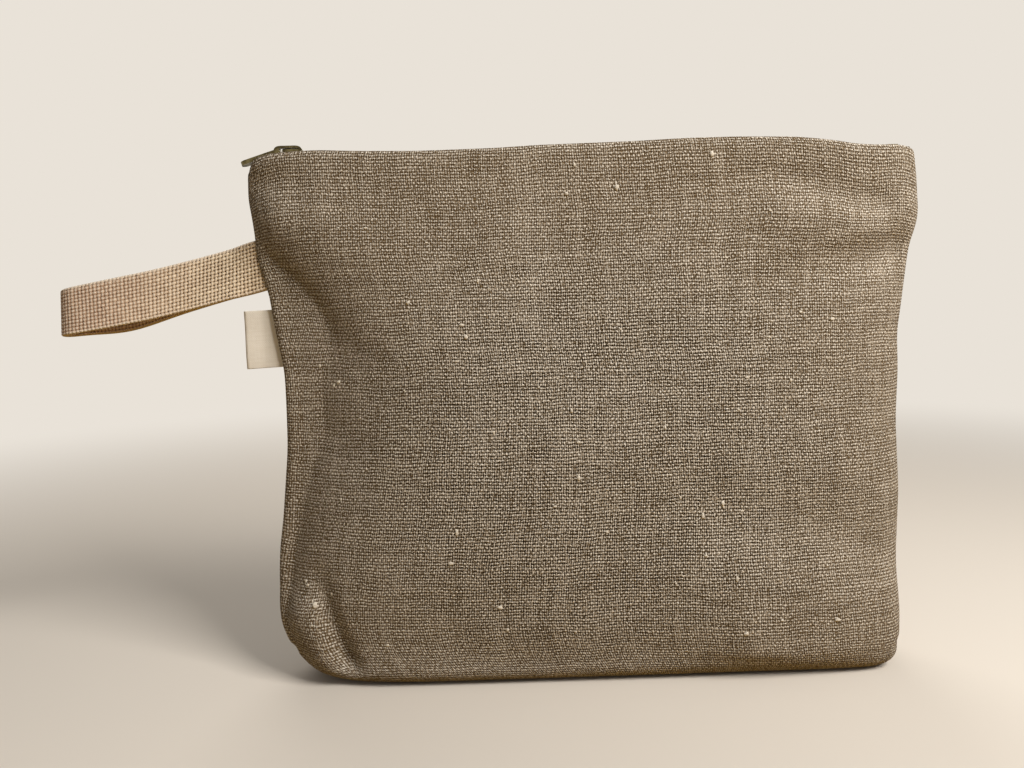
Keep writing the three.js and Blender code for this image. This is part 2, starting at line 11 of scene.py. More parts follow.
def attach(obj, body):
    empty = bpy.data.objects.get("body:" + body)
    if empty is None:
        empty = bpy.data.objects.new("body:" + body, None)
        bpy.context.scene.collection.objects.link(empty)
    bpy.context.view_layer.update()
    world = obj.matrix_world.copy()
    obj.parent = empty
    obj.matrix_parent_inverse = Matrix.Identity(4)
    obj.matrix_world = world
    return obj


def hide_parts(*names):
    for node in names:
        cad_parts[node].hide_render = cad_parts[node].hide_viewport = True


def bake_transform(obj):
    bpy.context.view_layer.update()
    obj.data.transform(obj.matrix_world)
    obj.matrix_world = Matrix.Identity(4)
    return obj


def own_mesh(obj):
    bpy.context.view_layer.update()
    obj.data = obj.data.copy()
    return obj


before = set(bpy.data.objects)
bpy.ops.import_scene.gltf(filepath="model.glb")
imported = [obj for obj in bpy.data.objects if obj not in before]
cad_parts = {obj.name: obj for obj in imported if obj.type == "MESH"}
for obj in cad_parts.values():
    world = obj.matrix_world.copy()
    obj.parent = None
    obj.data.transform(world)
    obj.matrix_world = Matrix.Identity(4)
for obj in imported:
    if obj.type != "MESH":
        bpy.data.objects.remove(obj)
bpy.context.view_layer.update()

MM = 0.001
FRONT = -1
BACK = 1
SIDES = ((FRONT, "front"), (BACK, "back"))

# Camera, fitted to the outline in the photo
CAMERA_PLACE = (-33.0, -295.8, 143.2)
CAMERA_PITCH = 6.0  # degrees down
CAMERA_YAW = 0.8  # degrees to the right
CAMERA_ROLL = -1.5  # degrees
FOCAL_PIXELS = 769.0
IMAGE_WIDTH = 1024
SENSOR = 36.0

# Half width of the body at a height, on the left and the right seam
LEFT_SEAM = (
    (0, 121.5), (30, 122), (50, 121.5), (62, 119.5), (90, 116.5), (120, 116.3), (136, 119),
    (151, 120.6), (162, 124), (173, 124.3), (181, 125.2), (188, 126), (200, 125.5),
)
RIGHT_SEAM = (
    (0, 118.4), (13, 118.6), (22, 119.2), (35, 119.6), (47, 120.6), (67, 121.6), (94, 120.3), (114, 121),
    (129, 120), (137, 121.2), (152, 122.8), (163, 123.8), (170, 126.2), (177, 127.3), (183, 126.4),
    (190, 126.2), (200, 124.6),
)
# Half depth of the body, and how square its level sections are: left and right of the middle, and in depth
HALF_DEPTH = ((0, 20), (14, 20), (42, 23.3), (75, 22), (108, 19), (150, 13.6), (184, 9.6), (200, 9.6))
LEFT_SQUARE = ((0, 6), (13, 6), (42, 3.8), (108, 3.2), (150, 6.5), (186, 14), (200, 14))
RIGHT_SQUARE = ((0, 18), (13, 14), (42, 5.5), (108, 3.2), (150, 6.5), (186, 14), (200, 14))
END_SQUARE = ((0, 4), (13, 4), (42, 2.3), (108, 1.8), (186, 2), (200, 2))
SEAM_SOFTEN = 3.5
DEPTH_SOFTEN = 8.0
# How far the top edge stands above or below its mean height
TOP_EDGE = (
    (-125, -3.4), (-121.5, -1.6), (-117, -0.3), (-98, 0.4), (-84, -0.3), (-62, -0.8), (-33, -0.4),
    (-18, 0.3), (18, 0.9), (37, 1.6), (55, 1.7), (77, 1.2), (84, 0.5), (92, -0.4), (99, -1.8),
    (107, -2.3), (116, -2.1), (121, -2.6), (126, -4.6),
)
TOP_EDGE_SOFTEN = 3.0
BACK_EDGE_SHARE = 0.5  # the back's top edge wanders less

TOP = 200.0
EDGE_ROUND = 7.0  # base to front
LEFT_END_ROUND = 28.0  # base to the left end
RIGHT_END_ROUND = 7.0  # base to the right end
CLOTH = 0.6
CLOTH_WIDTH = 268.0  # seam to seam along the cloth
CLOTH_HEIGHT = 235.0  # middle of the base to the end of the hem, along the cloth
FOLD_ROUND = CLOTH + 0.05  # the top edge is turned over its own thickness
HEM = 9.0  # turned in below the top edge
HEM_START = 1.5  # its first row below the fold
TOP_ROLL = 0.9  # the wall rolls in under the top edge
TOP_ROLL_HEIGHT = 2.6
BASE_SEAM_LIFT = 1.4  # the seam under the base stands clear of the floor
BASE_SEAM_SHARE = 0.012  # of the base's half depth
BASE_START_SHARE = 0.02
INNER_FACE_LIFT = 0.1  # the linen's inner face stays this far above the floor
SECTION_POINTS = 1201  # of a level section, before it is cut into even columns
PANEL_COLUMNS = 212
BASE_ROWS = 10
WALL_ROWS = 134
HEM_ROWS = 6

# Side seams: a groove, the cloth turned in, and slots where the strap and the label go in
SEAM_GROOVE = 0.8
SEAM_GROOVE_WIDTH = 1.7
SEAM_TURN_IN = (4.4, 2.6, 1.2)
SEAM_TURN_SPREAD = 0.08
SEAM_CLOSED = 0.12  # half the opening of a closed seam
SEAM_LIP_FADE = (0.0, 6.0)  # from the seam
PANEL_CLEAR = 0.02  # a panel keeps to its own side of the middle
# Slots of the left seam: heights where each begins, is full, narrows and ends, and half its opening
SEAM_SLOTS = ((146.5, 149.2, 169.4, 172.0, 1.65), (119.5, 121.2, 143.0, 144.8, 0.6))
# Short seam across each boxed corner, lower at its two ends, with a notch at the left ones
BOX_SEAM_HEIGHT = 13.0
BOX_SEAM_FALL = 5.0
BOX_SEAM_REACH = 18.0
BOX_SEAM_GROOVE = 0.9
BOX_SEAM_WIDTH = 1.4
BOX_SEAM_FACING = (0.5, 0.85)  # how far the cloth faces the end
NOTCH = 2.2
NOTCH_PLACE = 15.0
NOTCH_WIDTH = 3.5

# Where the moves of the cloth fade in or out: from, to
FOLDS_ABOVE_BASE = (2.0, 12.0)
FOLDS_END_AT_TOP = (190.0, 198.5)
FOLDS_FROM_SEAM = (0.0, 9.0)
HOLLOW_FACING = (0.15, 0.6)  # how far the cloth faces the front
TOP_EDGE_RISE = (140.0, 198.0)
CORNER_DIP = 3.6  # the top edge sinks this far under the pull, at the left seam
CORNER_DIP_RISE = (180.0, 198.0)
CORNER_DIP_LEFT = (112.0, 117.0)
CORNER_DIP_DEPTH = (2.9, 5.2)

# Layers inside: depth under the linen's face, thickness, height, lean behind the zip tape, flat size
INTERLINING = dict(depth=1.5, thickness=0.5, top=187.0, lean=0.0, flat=(238.0, 202.0))
LINING = dict(depth=2.4, thickness=0.4, top=195.8, lean=0.9, flat=(240.0, 210.0))
LAYER_END = 9.0  # they stay this far inside the side seams
LAYER_CLEAR = 0.06  # and this far from the middle
LEAN_RISE = (178.0, 187.0)

# Folds as lines of (x, z): how far each stands out (+) or in (-) at its first and its last point, and how
# wide it is to the left and to the right of the way it runs
FRONT_FOLDS = (
    (((-118.1, 40), (-118, 60), (-117.9, 132)), -4.8, -6.6, 34, 34),
    (((-121, 150), (-108, 141), (-97, 131), (-86, 123), (-66, 116)), -4.5, -0.5, 10, 16),
    (((-112, 176), (-96, 170), (-78, 161)), 2.0, 1.0, 11, 11),
    (((-122, 193), (-108, 186)), -1.2, -1.2, 7, 7),
    (((-114, 100), (-90, 92)), -2.0, -0.5, 9, 12),
    (((-105, 42), (-101, 28), (-97, 18), (-92.5, 6)), -1.0, -5.8, 4, 4),
    (((-112, 27), (-105, 17), (-98, 6)), 2.6, 2.6, 8, 8),
    (((58, 186), (84, 183), (108, 178)), -1.0, -2.4, 6, 9),
    (((72, 174), (106, 170)), 1.6, 1.6, 8, 8),
    (((66, 147), (85, 153), (117, 161)), -1.0, -3.6, 7, 9),
    (((20, 68), (65, 60), (92, 54)), -1.5, -3.0, 16, 22),
    (((76, 8), (88, 8)), 2.4, 2.4, 26, 10),
    (((56, 8), (56, 34)), 2.0, 2.0, 22, 28),
    (((-40, 21), (20, 21), (55, 21)), 1.2, 1.0, 10, 10),
)
BACK_FOLDS = (
    (((-120, 158), (-96, 147), (-74, 139)), -2.6, -0.8, 8, 10),
    (((-116, 170), (-92, 166)), 1.2, 1.2, 9, 9),
    (((84, 150), (118, 160)), -0.8, -2.4, 7, 7),
    (((60, 192), (100, 183)), -1.0, -1.0, 7, 7),
    (((94, 10), (106, 44)), -2.2, -2.2, 5, 5),
    (((-104, 40), (-95, 12)), -1.8, -1.8, 5, 5),
    (((-40, 96), (30, 88)), -0.7, -0.7, 22, 22),
)
FOLD_LIMIT = 0.6  # a fold goes in no further than this share of the depth there
FOLD_CHANGE = (-6.0, 6.0)  # across the line, where a fold's width changes
# Slow waves of the cloth: height, turns per millimetre across and up, start
CLOTH_WAVES = ((0.30, 1 / 150, 1 / 230, 1.3), (0.26, 1 / 255, -1 / 120, 0.4), (0.14, 1 / 62, 1 / 95, 2.2))

# Wrist strap and label: swing axis, height there, slope, width, thickness, reach, bow and sewn ends, where
# each starts and ends bending out from the axis, steps along and across it, and relief of its threads
STRAP = dict(
    axis=-127.281, height=159.5, slope=11.5, width=19.0, thickness=1.5, reach=70.5, bow=8.0, tail=10.8,
    bends=(-1.9, 4.5), step=0.37, across_steps=50, relief=0.16,
)
LABEL = dict(
    axis=-122.16, height=132.0, slope=2.0, width=22.0, thickness=0.45, reach=7.8, bow=0.9, tail=9.0,
    bends=(-1.2, 2.2), step=0.4, across_steps=46, relief=0.0,
)
LEG_GAP = 0.4
STRAP_THREAD = 1.38
STRAP_FAR_END = 84.0  # along the webbing, where its weave is closest
STRAP_LEAN_PLACES = (-1, 6, 70)
STRAP_LEAN = (0.0, 12.0, 28.0)  # degrees that it leans back at those places
STRAP_DROP = ((-10, 0.5), (0, 0.9), (12, 1.6), (35, 2.7), (55, 2.2), (72, 1.5))
STRAP_DROP_SOFTEN = 5.0
STRAP_BACK_SAG = 1.9  # the back leg hangs lower near the far end
STRAP_BACK = (-4.0, 4.0)  # from the front leg to the back leg
STRAP_SAG_PLACE = 50.0
STRAP_SAG_SPAN = 15.0
STRAP_WAVE = 0.4
STRAP_WAVE_SPAN = 14.0
STRAP_WAVE_START = 0.6
STRAP_FREE = (4.0, 20.0)  # out from the seam, where it begins to wave
STRAP_SQUARES = (5.0, 65.0)  # and where its width turns square to its length
LABEL_CURL = 0.9
LABEL_WAVE = 0.25
LABEL_WAVE_SPAN = 3.6

# Plain weave: how much of a thread's height is its roundness, and how much its rise and fall
THREAD_ROUND = 0.6
THREAD_RISE = 0.5
THREAD_HALF = 0.45  # half a thread of the webbing's relief, as a share of its pitch
WOVEN_MEAN = 0.6  # height in that relief that lies on the webbing's own face
# The linen's painted shade between threads and painted highlights on their crowns are strongest at a
# panel's middle: how far up the cloth, and how far from there they fade
PAINTED_LIGHT_MIDDLE = 104.0
PAINTED_LIGHT_REACH = 112.0
PAINTED_LIGHT_FADES = (0.35, 1.0)  # as shares of the reach

# Zip
CHAIN_Z = 197.1
TOOTH_PITCH = 2.5
FIRST_TOOTH = -109.9
LAST_TOOTH = 112.2
CORD_MIDDLE = 2.65
CORD_ROUND = 0.5
TAPE = 0.5
TAPE_EDGE_PLACES = (5.6, 4.6, 3.8)  # from the middle, outermost first
TAPE_EDGE_STEP = 0.6
TAPE_HEM_PLACES = (5.2, 6.0)  # level part, from the middle
TAPE_HEM_OUT = 7.2  # upright part, from the middle
TAPE_HEM_BEND = 0.7
TAPE_HEM_SINK = 0.12  # the hem lies a little under the open edge
TAPE_HEM_FALL = (195.4, 188.2)  # heights of the upright part
TAPE_HEM_FALL_STEPS = 8
TAPE_HEM_STEPS = 160
TAPE_CUT = 11.2  # width of one tape laid flat
TAPE_END = 120.5
TAPE_END_DROP = 2.6  # the ends dip into the side seams
TAPE_END_FADE = (118.0, 121.5)
TAPE_ROOM_HEIGHT = 196.0  # where the room between the linen's hems is taken
TAPE_CLEAR = 0.3  # from each hem
TAPE_LEAST = 0.8
LEAF_MIDDLE = (-108.8, 201.65)
LEAF_LENGTH = 6.8
LEAF_HEIGHT = 2.0
METAL_SOFTEN = 0.22  # bevel on the edges of the metal
METAL_EDGE = 35.0  # degrees between two faces, from which their edge is softened
# Stretches of the rows and how each parts as the slider runs right
OPEN_LEFT = -80.0
OPEN_RIGHT = 84.0
MOUTH_AT_LIMIT = 99.7
CLOSED_FROM = 105.5
PARTING = 3.7  # each row moves this far along the open stretch
PARTING_OUT = 0.72  # the way it moves, as a unit direction
PARTING_DOWN = 0.694
PARTING_SQUEEZE = 0.2  # share of its width that a row loses
MOUTH_SQUEEZE = 0.36  # the same in the stretch that ends at the slider
THROAT_KEEP = 0.2  # share of its width that a row keeps inside the slider
TAPE_TONGUE = 2.6  # neighbouring stretches of tape edge overlap, so no gap opens
TONGUE_THIN = 0.85  # share of the tape's thickness

# Scattered neps, and the shape of each as shares of its size
SEED = 11
NEP_COUNT = 70
NEP_ACROSS = (-116, 116)
NEP_UP = (12, 194)
NEP_SIZE = (0.25, 0.6)
NEP_LONG = (1.0, 1.6)
NEP_WIDE = 0.85
NEP_HIGH = 0.5
NEP_LIFT = 0.08
NEP_ROUGH = 0.16


def metres(*sizes):
    return tuple(size * MM for size in sizes)


def ease(low, high, at):
    """0 below low, 1 above high, and a soft step between."""
    share = np.clip((at - low) / (high - low), 0, 1)
    return share * share * (3 - 2 * share)


def soft_table(table, at, soften):
    """A table of (place, value) pairs read as one soft curve."""
    places, values = np.array(table, float).T
    fine = np.arange(places[0] - 4 * soften, places[-1] + 4 * soften, soften / 4)
    spread = np.exp(-np.linspace(-3, 3, 25) ** 2 / 2)
    rough = np.pad(np.interp(fine, places, values), 12, mode="edge")
    return np.interp(at, fine, np.convolve(rough, spread / spread.sum(), mode="valid"))


# Shader values and finishes


class Value:
    """A socket that takes part in Python arithmetic by adding Math nodes."""

    def __init__(self, finish, socket):
        self.finish = finish
        self.socket = socket

    def output(self, name):
        return Value(self.finish, self.socket.node.outputs[name])

    def __add__(self, other):
        return self.finish.maths("ADD", self, other)

    def __radd__(self, other):
        return self.finish.maths("ADD", other, self)

    def __sub__(self, other):
        return self.finish.maths("SUBTRACT", self, other)

    def __rsub__(self, other):
        return self.finish.maths("SUBTRACT", other, self)

    def __mul__(self, other):
        return self.finish.maths("MULTIPLY", self, other)

    def __rmul__(self, other):
        return self.finish.maths("MULTIPLY", other, self)

    def __truediv__(self, other):
        return self.finish.maths("DIVIDE", self, other)

    def __rtruediv__(self, other):
        return self.finish.maths("DIVIDE", other, self)


class Finish:
    """A node tree and the one method that adds a node to it."""

    def __init__(self, tree):
        self.tree = tree
        tree.nodes.clear()

    def add(self, kind, settings=None, sockets=None, output=0):
        node = self.tree.nodes.new(kind)
        for name, value in (settings or {}).items():
            setattr(node, name, value)
        for name, value in (sockets or {}).items():
            if isinstance(value, Value):
                self.tree.links.new(value.socket, node.inputs[name])
            else:
                node.inputs[name].default_value = value
        return Value(self, node.outputs[output]) if node.outputs else None

    def maths(self, operation, *values):
        return self.add("ShaderNodeMath", {"operation": operation}, dict(enumerate(values)))

    def cloth_place(self):
        """The cloth's own coordinates, in metres."""
        return self.add("ShaderNodeUVMap", {"uv_map": "cloth"})

    def split(self, place):
        parts = self.add("ShaderNodeSeparateXYZ", sockets={"Vector": place})
        return parts.output("X"), parts.output("Y")

    def vector(self, x=0.0, y=0.0, z=0.0):
        return self.add("ShaderNodeCombineXYZ", sockets={"X": x, "Y": y, "Z": z})

    def noise(self, place, scale, detail=2.0, flat=True):
        settings = {"noise_dimensions": "2D" if flat else "3D"}
        return self.add("ShaderNodeTexNoise", settings, {"Vector": place, "Scale": scale, "Detail": detail})

    def between(self, value, low, high):
        """value from low to high, read as 0 to 1."""
        sockets = {"Value": value, "From Min": low, "From Max": high}
        return self.add("ShaderNodeMapRange", {"interpolation_type": "SMOOTHSTEP"}, sockets)

    def mix(self, share, first, second):
        return self.add("ShaderNodeMix", {"data_type": "RGBA"}, {0: share, 6: first, 7: second}, 2)

    def dim(self, colour, amount):
        return self.add("ShaderNodeVectorMath", {"operation": "SCALE"}, {"Vector": colour, "Scale": amount})

    def bump(self, height, depth, strength=1.0):
        return self.add("ShaderNodeBump", sockets={"Height": height, "Distance": depth, "Strength": strength})

    def surface(self, **sockets):
        named = {name.replace("_", " "): value for name, value in sockets.items()}
        shader = self.add("ShaderNodeBsdfPrincipled", sockets=named)
        self.add("ShaderNodeOutputMaterial", sockets={"Surface": shader})


def new_material(name):
    material = bpy.data.materials.new(name)
    material.use_nodes = True
    return material, Finish(material.node_tree)


def tint(*screen):
    """A screen colour from 0 to 255 as the shader's linear colour."""
    shares = [value / 255 for value in screen]
    linear = [share / 12.92 if share <= 0.04045 else ((share + 0.055) / 1.055) ** 2.4 for share in shares]
    return (*linear, 1.0)


def plain_weave(finish, pitch, thread, yarns, gap_shade, gap_shade_edges, depth, warp_shade_tone=1.0, crown_highlight=0.0,
                vary=0.12, wander=0.0003, uneven=0.0, grain=1300.0, life=60.0, streaks=0.0):
    """Plain weave over the cloth's own coordinates: returns its colour and its bump.

    pitch and thread are warp then weft: metres, and half a thread as a share of its pitch. yarns are
    the darkest, the lightest and the painted highlight colour of the crowns. gap_shade is the painted
    shade colour between threads, gap_shade_edges the heights over which it ends, and depth the bump's.
    warp_shade_tone is how light the warp is against the weft, a painted shade where the warp lies on
    top, and crown_highlight how strongly the painted highlight is laid on the crowns. vary is how much
    a thread's width changes, wander how far it strays, uneven how much the surface is roughened, grain
    how finely, and life how fast a thread changes along its length. streaks is how much bands of warp
    threads differ in tone.
    """
    place = finish.cloth_place()
    u, v = finish.split(place)
    across = (u + (finish.noise(place, 70.0) - 0.5) * wander) / pitch[0]
    along = (v + (finish.noise(place, 55.0) - 0.5) * wander) / pitch[1]
    warp_number = finish.maths("FLOOR", across)
    weft_number = finish.maths("FLOOR", along)
    warp_life = finish.noise(finish.vector(warp_number * 3.7, v * life), 1.0, 3.0)
    weft_life = finish.noise(finish.vector(weft_number * 3.7 + 51.3, u * life), 1.0, 3.0)
    off_warp = (across - warp_number - 0.5) / (thread[0] + (warp_life - 0.5) * vary)
    off_weft = (along - weft_number - 0.5) / (thread[1] + (weft_life - 0.5) * vary)
    warp_round = finish.maths("MAXIMUM", 1 - off_warp * off_warp, -0.8)
    weft_round = finish.maths("MAXIMUM", 1 - off_weft * off_weft, -0.8)
    warp_rise = finish.maths("COSINE", (along - 0.5 + warp_number) * math.pi)
    weft_rise = finish.maths("COSINE", (across - 0.5 + weft_number) * math.pi)
    warp_top = warp_round * THREAD_ROUND + warp_rise * THREAD_RISE
    weft_top = weft_round * THREAD_ROUND - weft_rise * THREAD_RISE
    rough = (finish.noise(place, grain, 3.0) - 0.5) * uneven
    height = finish.maths("MAXIMUM", warp_top, weft_top) + rough
    over = finish.between(warp_top - weft_top, -0.2, 0.2)
    cloudy = (finish.noise(place, 22.0, 3.0) - 0.5) * 0.3
    cloudy = cloudy + (finish.noise(finish.vector(u * 420.0, v * 7.0), 1.0) - 0.5) * streaks
    tone = weft_life + (warp_life - weft_life) * over + cloudy + rough * 0.3
    yarn = finish.mix(finish.between(tone, 0.2, 0.85), yarns[0], yarns[1])
    # Painted shade: the warp is darker where it lies on top of the weft
    yarn = finish.dim(yarn, 1 - over * (1 - warp_shade_tone))
    # Painted shade between the threads, where the surface lies lowest
    colour = finish.mix(finish.between(height, *gap_shade_edges), gap_shade, yarn)
    # Painted highlight on the threads' crowns, where the surface lies highest
    painted_highlight = finish.between(height, 0.55, 1.2) * crown_highlight * (1 - over * (1 - warp_shade_tone))
    return finish.mix(painted_highlight, colour, yarns[2]), finish.bump(height, depth, 0.8)


def linen_finish():
    """Painted shade between the threads and painted highlights on their crowns:
    strongest in the middle of a panel, fainter towards its edges.
    """
    material, finish = new_material("natural_linen")
    across, up = finish.split(finish.cloth_place())
    off_across = across / (CLOTH_WIDTH / 2 * MM)
    off_up = (up - PAINTED_LIGHT_MIDDLE * MM) / (PAINTED_LIGHT_REACH * MM)
    from_middle = finish.maths("SQRT", off_across * off_across + off_up * off_up)
    # closer rises from 0 at a panel's middle to 1 towards its edges: there the painted shade between threads
    # is lighter and the painted crown highlight weaker
    closer = finish.between(from_middle, *PAINTED_LIGHT_FADES)
    gap_shade = finish.mix(closer, tint(22, 12, 2), tint(98, 79, 56))
    # Yarn tones, darkest and lightest, and the colour of the painted crown highlight
    yarns = (tint(117, 95, 60), tint(189, 173, 151), tint(251, 245, 234))
    colour, normal = plain_weave(
        finish, (0.00086, 0.00118), (0.35, 0.36), yarns, gap_shade, (-0.1, 0.8), 0.0003, warp_shade_tone=0.66,
        crown_highlight=0.92 - closer * 0.2, vary=0.28, wander=0.0016, uneven=2.0, grain=1400.0, streaks=0.45,
    )
    finish.surface(
        Base_Color=colour, Normal=normal, Roughness=0.95, Specular_IOR_Level=0.2,
        Sheen_Weight=0.06, Sheen_Roughness=0.5,
    )
    return material


def webbing_finish():
    """Open near the seam, closer towards the far end, with pale selvedges."""
    material, finish = new_material("cotton_webbing")
    place = finish.cloth_place()
    along, across = finish.split(place)
    far_end = STRAP_FAR_END * MM
    from_far_end = finish.maths("ABSOLUTE", along - far_end)
    near_seam = finish.between(from_far_end, 0.2 * far_end, 0.8 * far_end)
    half_thread = 0.43 - near_seam * 0.09
    # Yarns lighter and yellower near the seam: partly their own tone, partly painted highlight
    dark_yarn = finish.mix(near_seam, tint(184, 147, 118), tint(210, 182, 148))
    light_yarn = finish.mix(near_seam, tint(222, 187, 156), tint(253, 230, 196))
    yarns = (dark_yarn, light_yarn, tint(255, 243, 224))
    # Painted shade in the holes between threads and a painted highlight on their crowns
    colour, normal = plain_weave(
        finish, metres(STRAP_THREAD, STRAP_THREAD), (half_thread, half_thread), yarns, tint(64, 41, 21),
        (-0.2, 0.5), 0.0003, warp_shade_tone=0.86, crown_highlight=0.8, uneven=0.5, grain=900.0, life=90.0,
    )
    half = STRAP["width"] / 2 * MM
    from_edge = half - finish.maths("ABSOLUTE", across - half)
    fray = finish.noise(place, 900.0, 3.0) * 0.0012
    colour = finish.mix(finish.between(from_edge - fray, 0.0007, 0.0), colour, tint(236, 217, 194))
    finish.surface(
        Base_Color=colour, Normal=normal, Roughness=0.9, Specular_IOR_Level=0.25,
        Sheen_Weight=0.08, Sheen_Roughness=0.5,
    )
    return material


def label_finish():
    material, finish = new_material("cream_label_tape")
    yarns = (tint(240, 231, 216), tint(250, 243, 231), tint(252, 247, 238))
    # Light painted shade between the threads and a faint painted highlight on their crowns
    colour, normal = plain_weave(
        finish, (0.0004, 0.00045), (0.47, 0.47), yarns, tint(208, 195, 175), (-0.3, 0.4), 0.00006,
        warp_shade_tone=0.96, crown_highlight=0.2,
    )
    finish.surface(Base_Color=colour, Normal=normal, Roughness=0.9, Specular_IOR_Level=0.2)
    return material


def lining_finish():
    material, finish = new_material("cream_cotton_lining")
    yarns = (tint(206, 196, 176), tint(232, 224, 206), tint(240, 233, 218))
    # Light painted shade between the threads and a faint painted highlight on their crowns
    colour, normal = plain_weave(
        finish, (0.0005, 0.0005), (0.46, 0.46), yarns, tint(150, 138, 116), (-0.3, 0.5), 0.00008,
        warp_shade_tone=0.93, crown_highlight=0.3,
    )
    finish.surface(Base_Color=colour, Normal=normal, Roughness=0.92, Specular_IOR_Level=0.2)
    return material


def interlining_finish():
    material, finish = new_material("felted_interlining")
    place = finish.cloth_place()
    tufts = finish.noise(place, 900.0, 5.0)
    clouds = finish.noise(place, 60.0, 3.0)
    colour = finish.mix(tufts * 0.6 + clouds * 0.4, tint(205, 200, 188), tint(240, 236, 226))
    finish.surface(Base_Color=colour, Normal=finish.bump(tufts, 0.0002), Roughness=1.0)
    return material


def tape_finish():
    """Twill tape: slanting ribs of fine warp."""
    material, finish = new_material("twill_zip_tape")
    place = finish.cloth_place()
    along, across = finish.split(place)
    slant = (along + across) * (2 * math.pi / 0.0009)
    rib = finish.maths("SINE", slant) * 0.5 + 0.5
    fleck = finish.noise(place, 2500.0, 2.0)
    colour = finish.mix(rib * 0.6 + fleck * 0.4, tint(84, 72, 58), tint(150, 134, 112))
    finish.surface(Base_Color=colour, Normal=finish.bump(rib + fleck * 0.5, 0.00012), Roughness=0.9)
    return material


def brass_finish():
    """Antique brass: rubbed bright in places, browned in others."""
    material, finish = new_material("antique_brass")
    place = finish.add("ShaderNodeTexCoord").output("Object")
    brown = finish.between(finish.noise(place, 420.0, 5.0, False), 0.35, 0.68)
    grain = finish.noise(place, 4200.0, 3.0, False)
    colour = finish.mix(brown, tint(112, 102, 71), tint(74, 66, 44))
    finish.surface(
        Base_Color=colour, Metallic=1.0, Roughness=0.24 + brown * 0.22 + grain * 0.12,
        Normal=finish.bump(grain, 0.00003, 0.5),
    )
    return material


def nep_finish():
    """Tufts of loose flax spun into the linen."""
    material, finish = new_material("flax_neps")
    place = finish.add("ShaderNodeTexCoord").output("Object")
    strands = finish.noise(place, 2600.0, 4.0, False)
    tuft = finish.noise(place, 300.0, 2.0, False)
    colour = finish.mix(strands * 0.7 + tuft * 0.3, tint(190, 176, 154), tint(250, 243, 230))
    finish.surface(
        Base_Color=colour, Normal=finish.bump(strands, 0.0002), Roughness=0.95, Specular_IOR_Level=0.2,
    )
    return material


LINEN_CLOTH = linen_finish()
WEBBING = webbing_finish()
LABEL_TAPE = label_finish()
LINING_COTTON = lining_finish()
FELTED_INTERLINING = interlining_finish()
ZIP_TAPE = tape_finish()
BRASS = brass_finish()
FLAX_NEPS = nep_finish()


# Meshes


def new_piece(name, points, faces, material, cloth=None):
    """A smooth mesh from points in millimetres, with the cloth's own coordinates if it has them."""
    mesh = bpy.data.meshes.new(name)
    mesh.from_pydata((np.asarray(points) * MM).tolist(), [], [list(face) for face in faces])
    mesh.polygons.foreach_set("use_smooth", np.ones(len(mesh.polygons), bool))
    if cloth is not None:
        corner = np.zeros(len(mesh.loops), int)
        mesh.loops.foreach_get("vertex_index", corner)
        mesh.uv_layers.new(name="cloth").data.foreach_set("uv", (np.asarray(cloth) * MM)[corner].ravel())
    mesh.materials.append(material)
    mesh.update()
    piece = bpy.data.objects.new(name, mesh)
    bpy.context.scene.collection.objects.link(piece)
    return piece


def grid_faces(rows, columns, closed=False):
    """Four-cornered faces of a grid of points, joined round its rows where it is closed."""
    steps = columns if closed else columns - 1
    row, column = np.meshgrid(np.arange(rows - 1), np.arange(steps), indexing="ij")
    here = row * columns + column
    beside = row * columns + (column + 1) % columns
    return np.stack([here, beside, beside + columns, here + columns], -1).reshape(-1, 4)


def tube_faces(rows, columns, turned=False):
    """Faces of a closed tube with a cap at each end."""
    faces = [tuple(face) for face in grid_faces(rows, columns, closed=True)]
    faces += [tuple(range(columns - 1, -1, -1)), tuple(range((rows - 1) * columns, rows * columns))]
    return [face[::-1] for face in faces] if turned else faces


def shell_faces(rows, columns, turned):
    """Faces of a sheet with two sides and a rim. The second side's points follow the first's."""
    count = rows * columns
    outside = grid_faces(rows, columns)
    index = np.arange(count).reshape(rows, columns)
    border = np.concatenate([index[0, :-1], index[:-1, -1], index[-1, :0:-1], index[:0:-1, 0]])
    after = np.roll(border, -1)
    rim = np.stack([after, border, border + count, after + count], -1)
    faces = np.concatenate([outside, outside[:, ::-1] + count, rim])
    return faces[:, ::-1] if turned else faces


def shifted(faces, start):
    """The faces of a copy whose points begin at start."""
    return [tuple(start + corner for corner in face) for face in faces]


def grid_normals(points):
    """Unit normals of a grid, to the right of its rows as they rise."""
    normal = np.cross(np.gradient(points, axis=1), np.gradient(points, axis=0))
    size = np.linalg.norm(normal, axis=-1, keepdims=True)
    return np.where(size > 1e-9, normal / np.maximum(size, 1e-9), (0.0, 0.0, -1.0))


def length_along(line):
    """Length of a line up to each of its points."""
    return np.concatenate([[0], np.cumsum(np.linalg.norm(np.diff(line, axis=0), axis=1))])


def right_of(line):
    """Unit directions to the right of a line in a plane, as it runs."""
    way = np.gradient(line, axis=0)
    way /= np.linalg.norm(way, axis=1, keepdims=True)
    return np.stack([way[:, 1], -way[:, 0]], 1)


def sheet_piece(name, layers, across, rise, turned, material):
    """A sheet from the grids of its two sides, with the cloth's own coordinates across and up it."""
    cloth = np.stack(np.meshgrid(across, rise), -1).reshape(-1, 2)
    points = np.concatenate([layer.reshape(-1, 3) for layer in layers])
    faces = shell_faces(*layers[0].shape[:2], turned)
    return new_piece(name, points, faces, material, np.concatenate([cloth, cloth]))


# Linen shell, interlining and lining


def round_inset(z, radius):
    """How far a rounded lower edge is drawn in at a height."""
    below = np.maximum(radius - z, 0)
    return radius - np.sqrt(radius * radius - below * below)


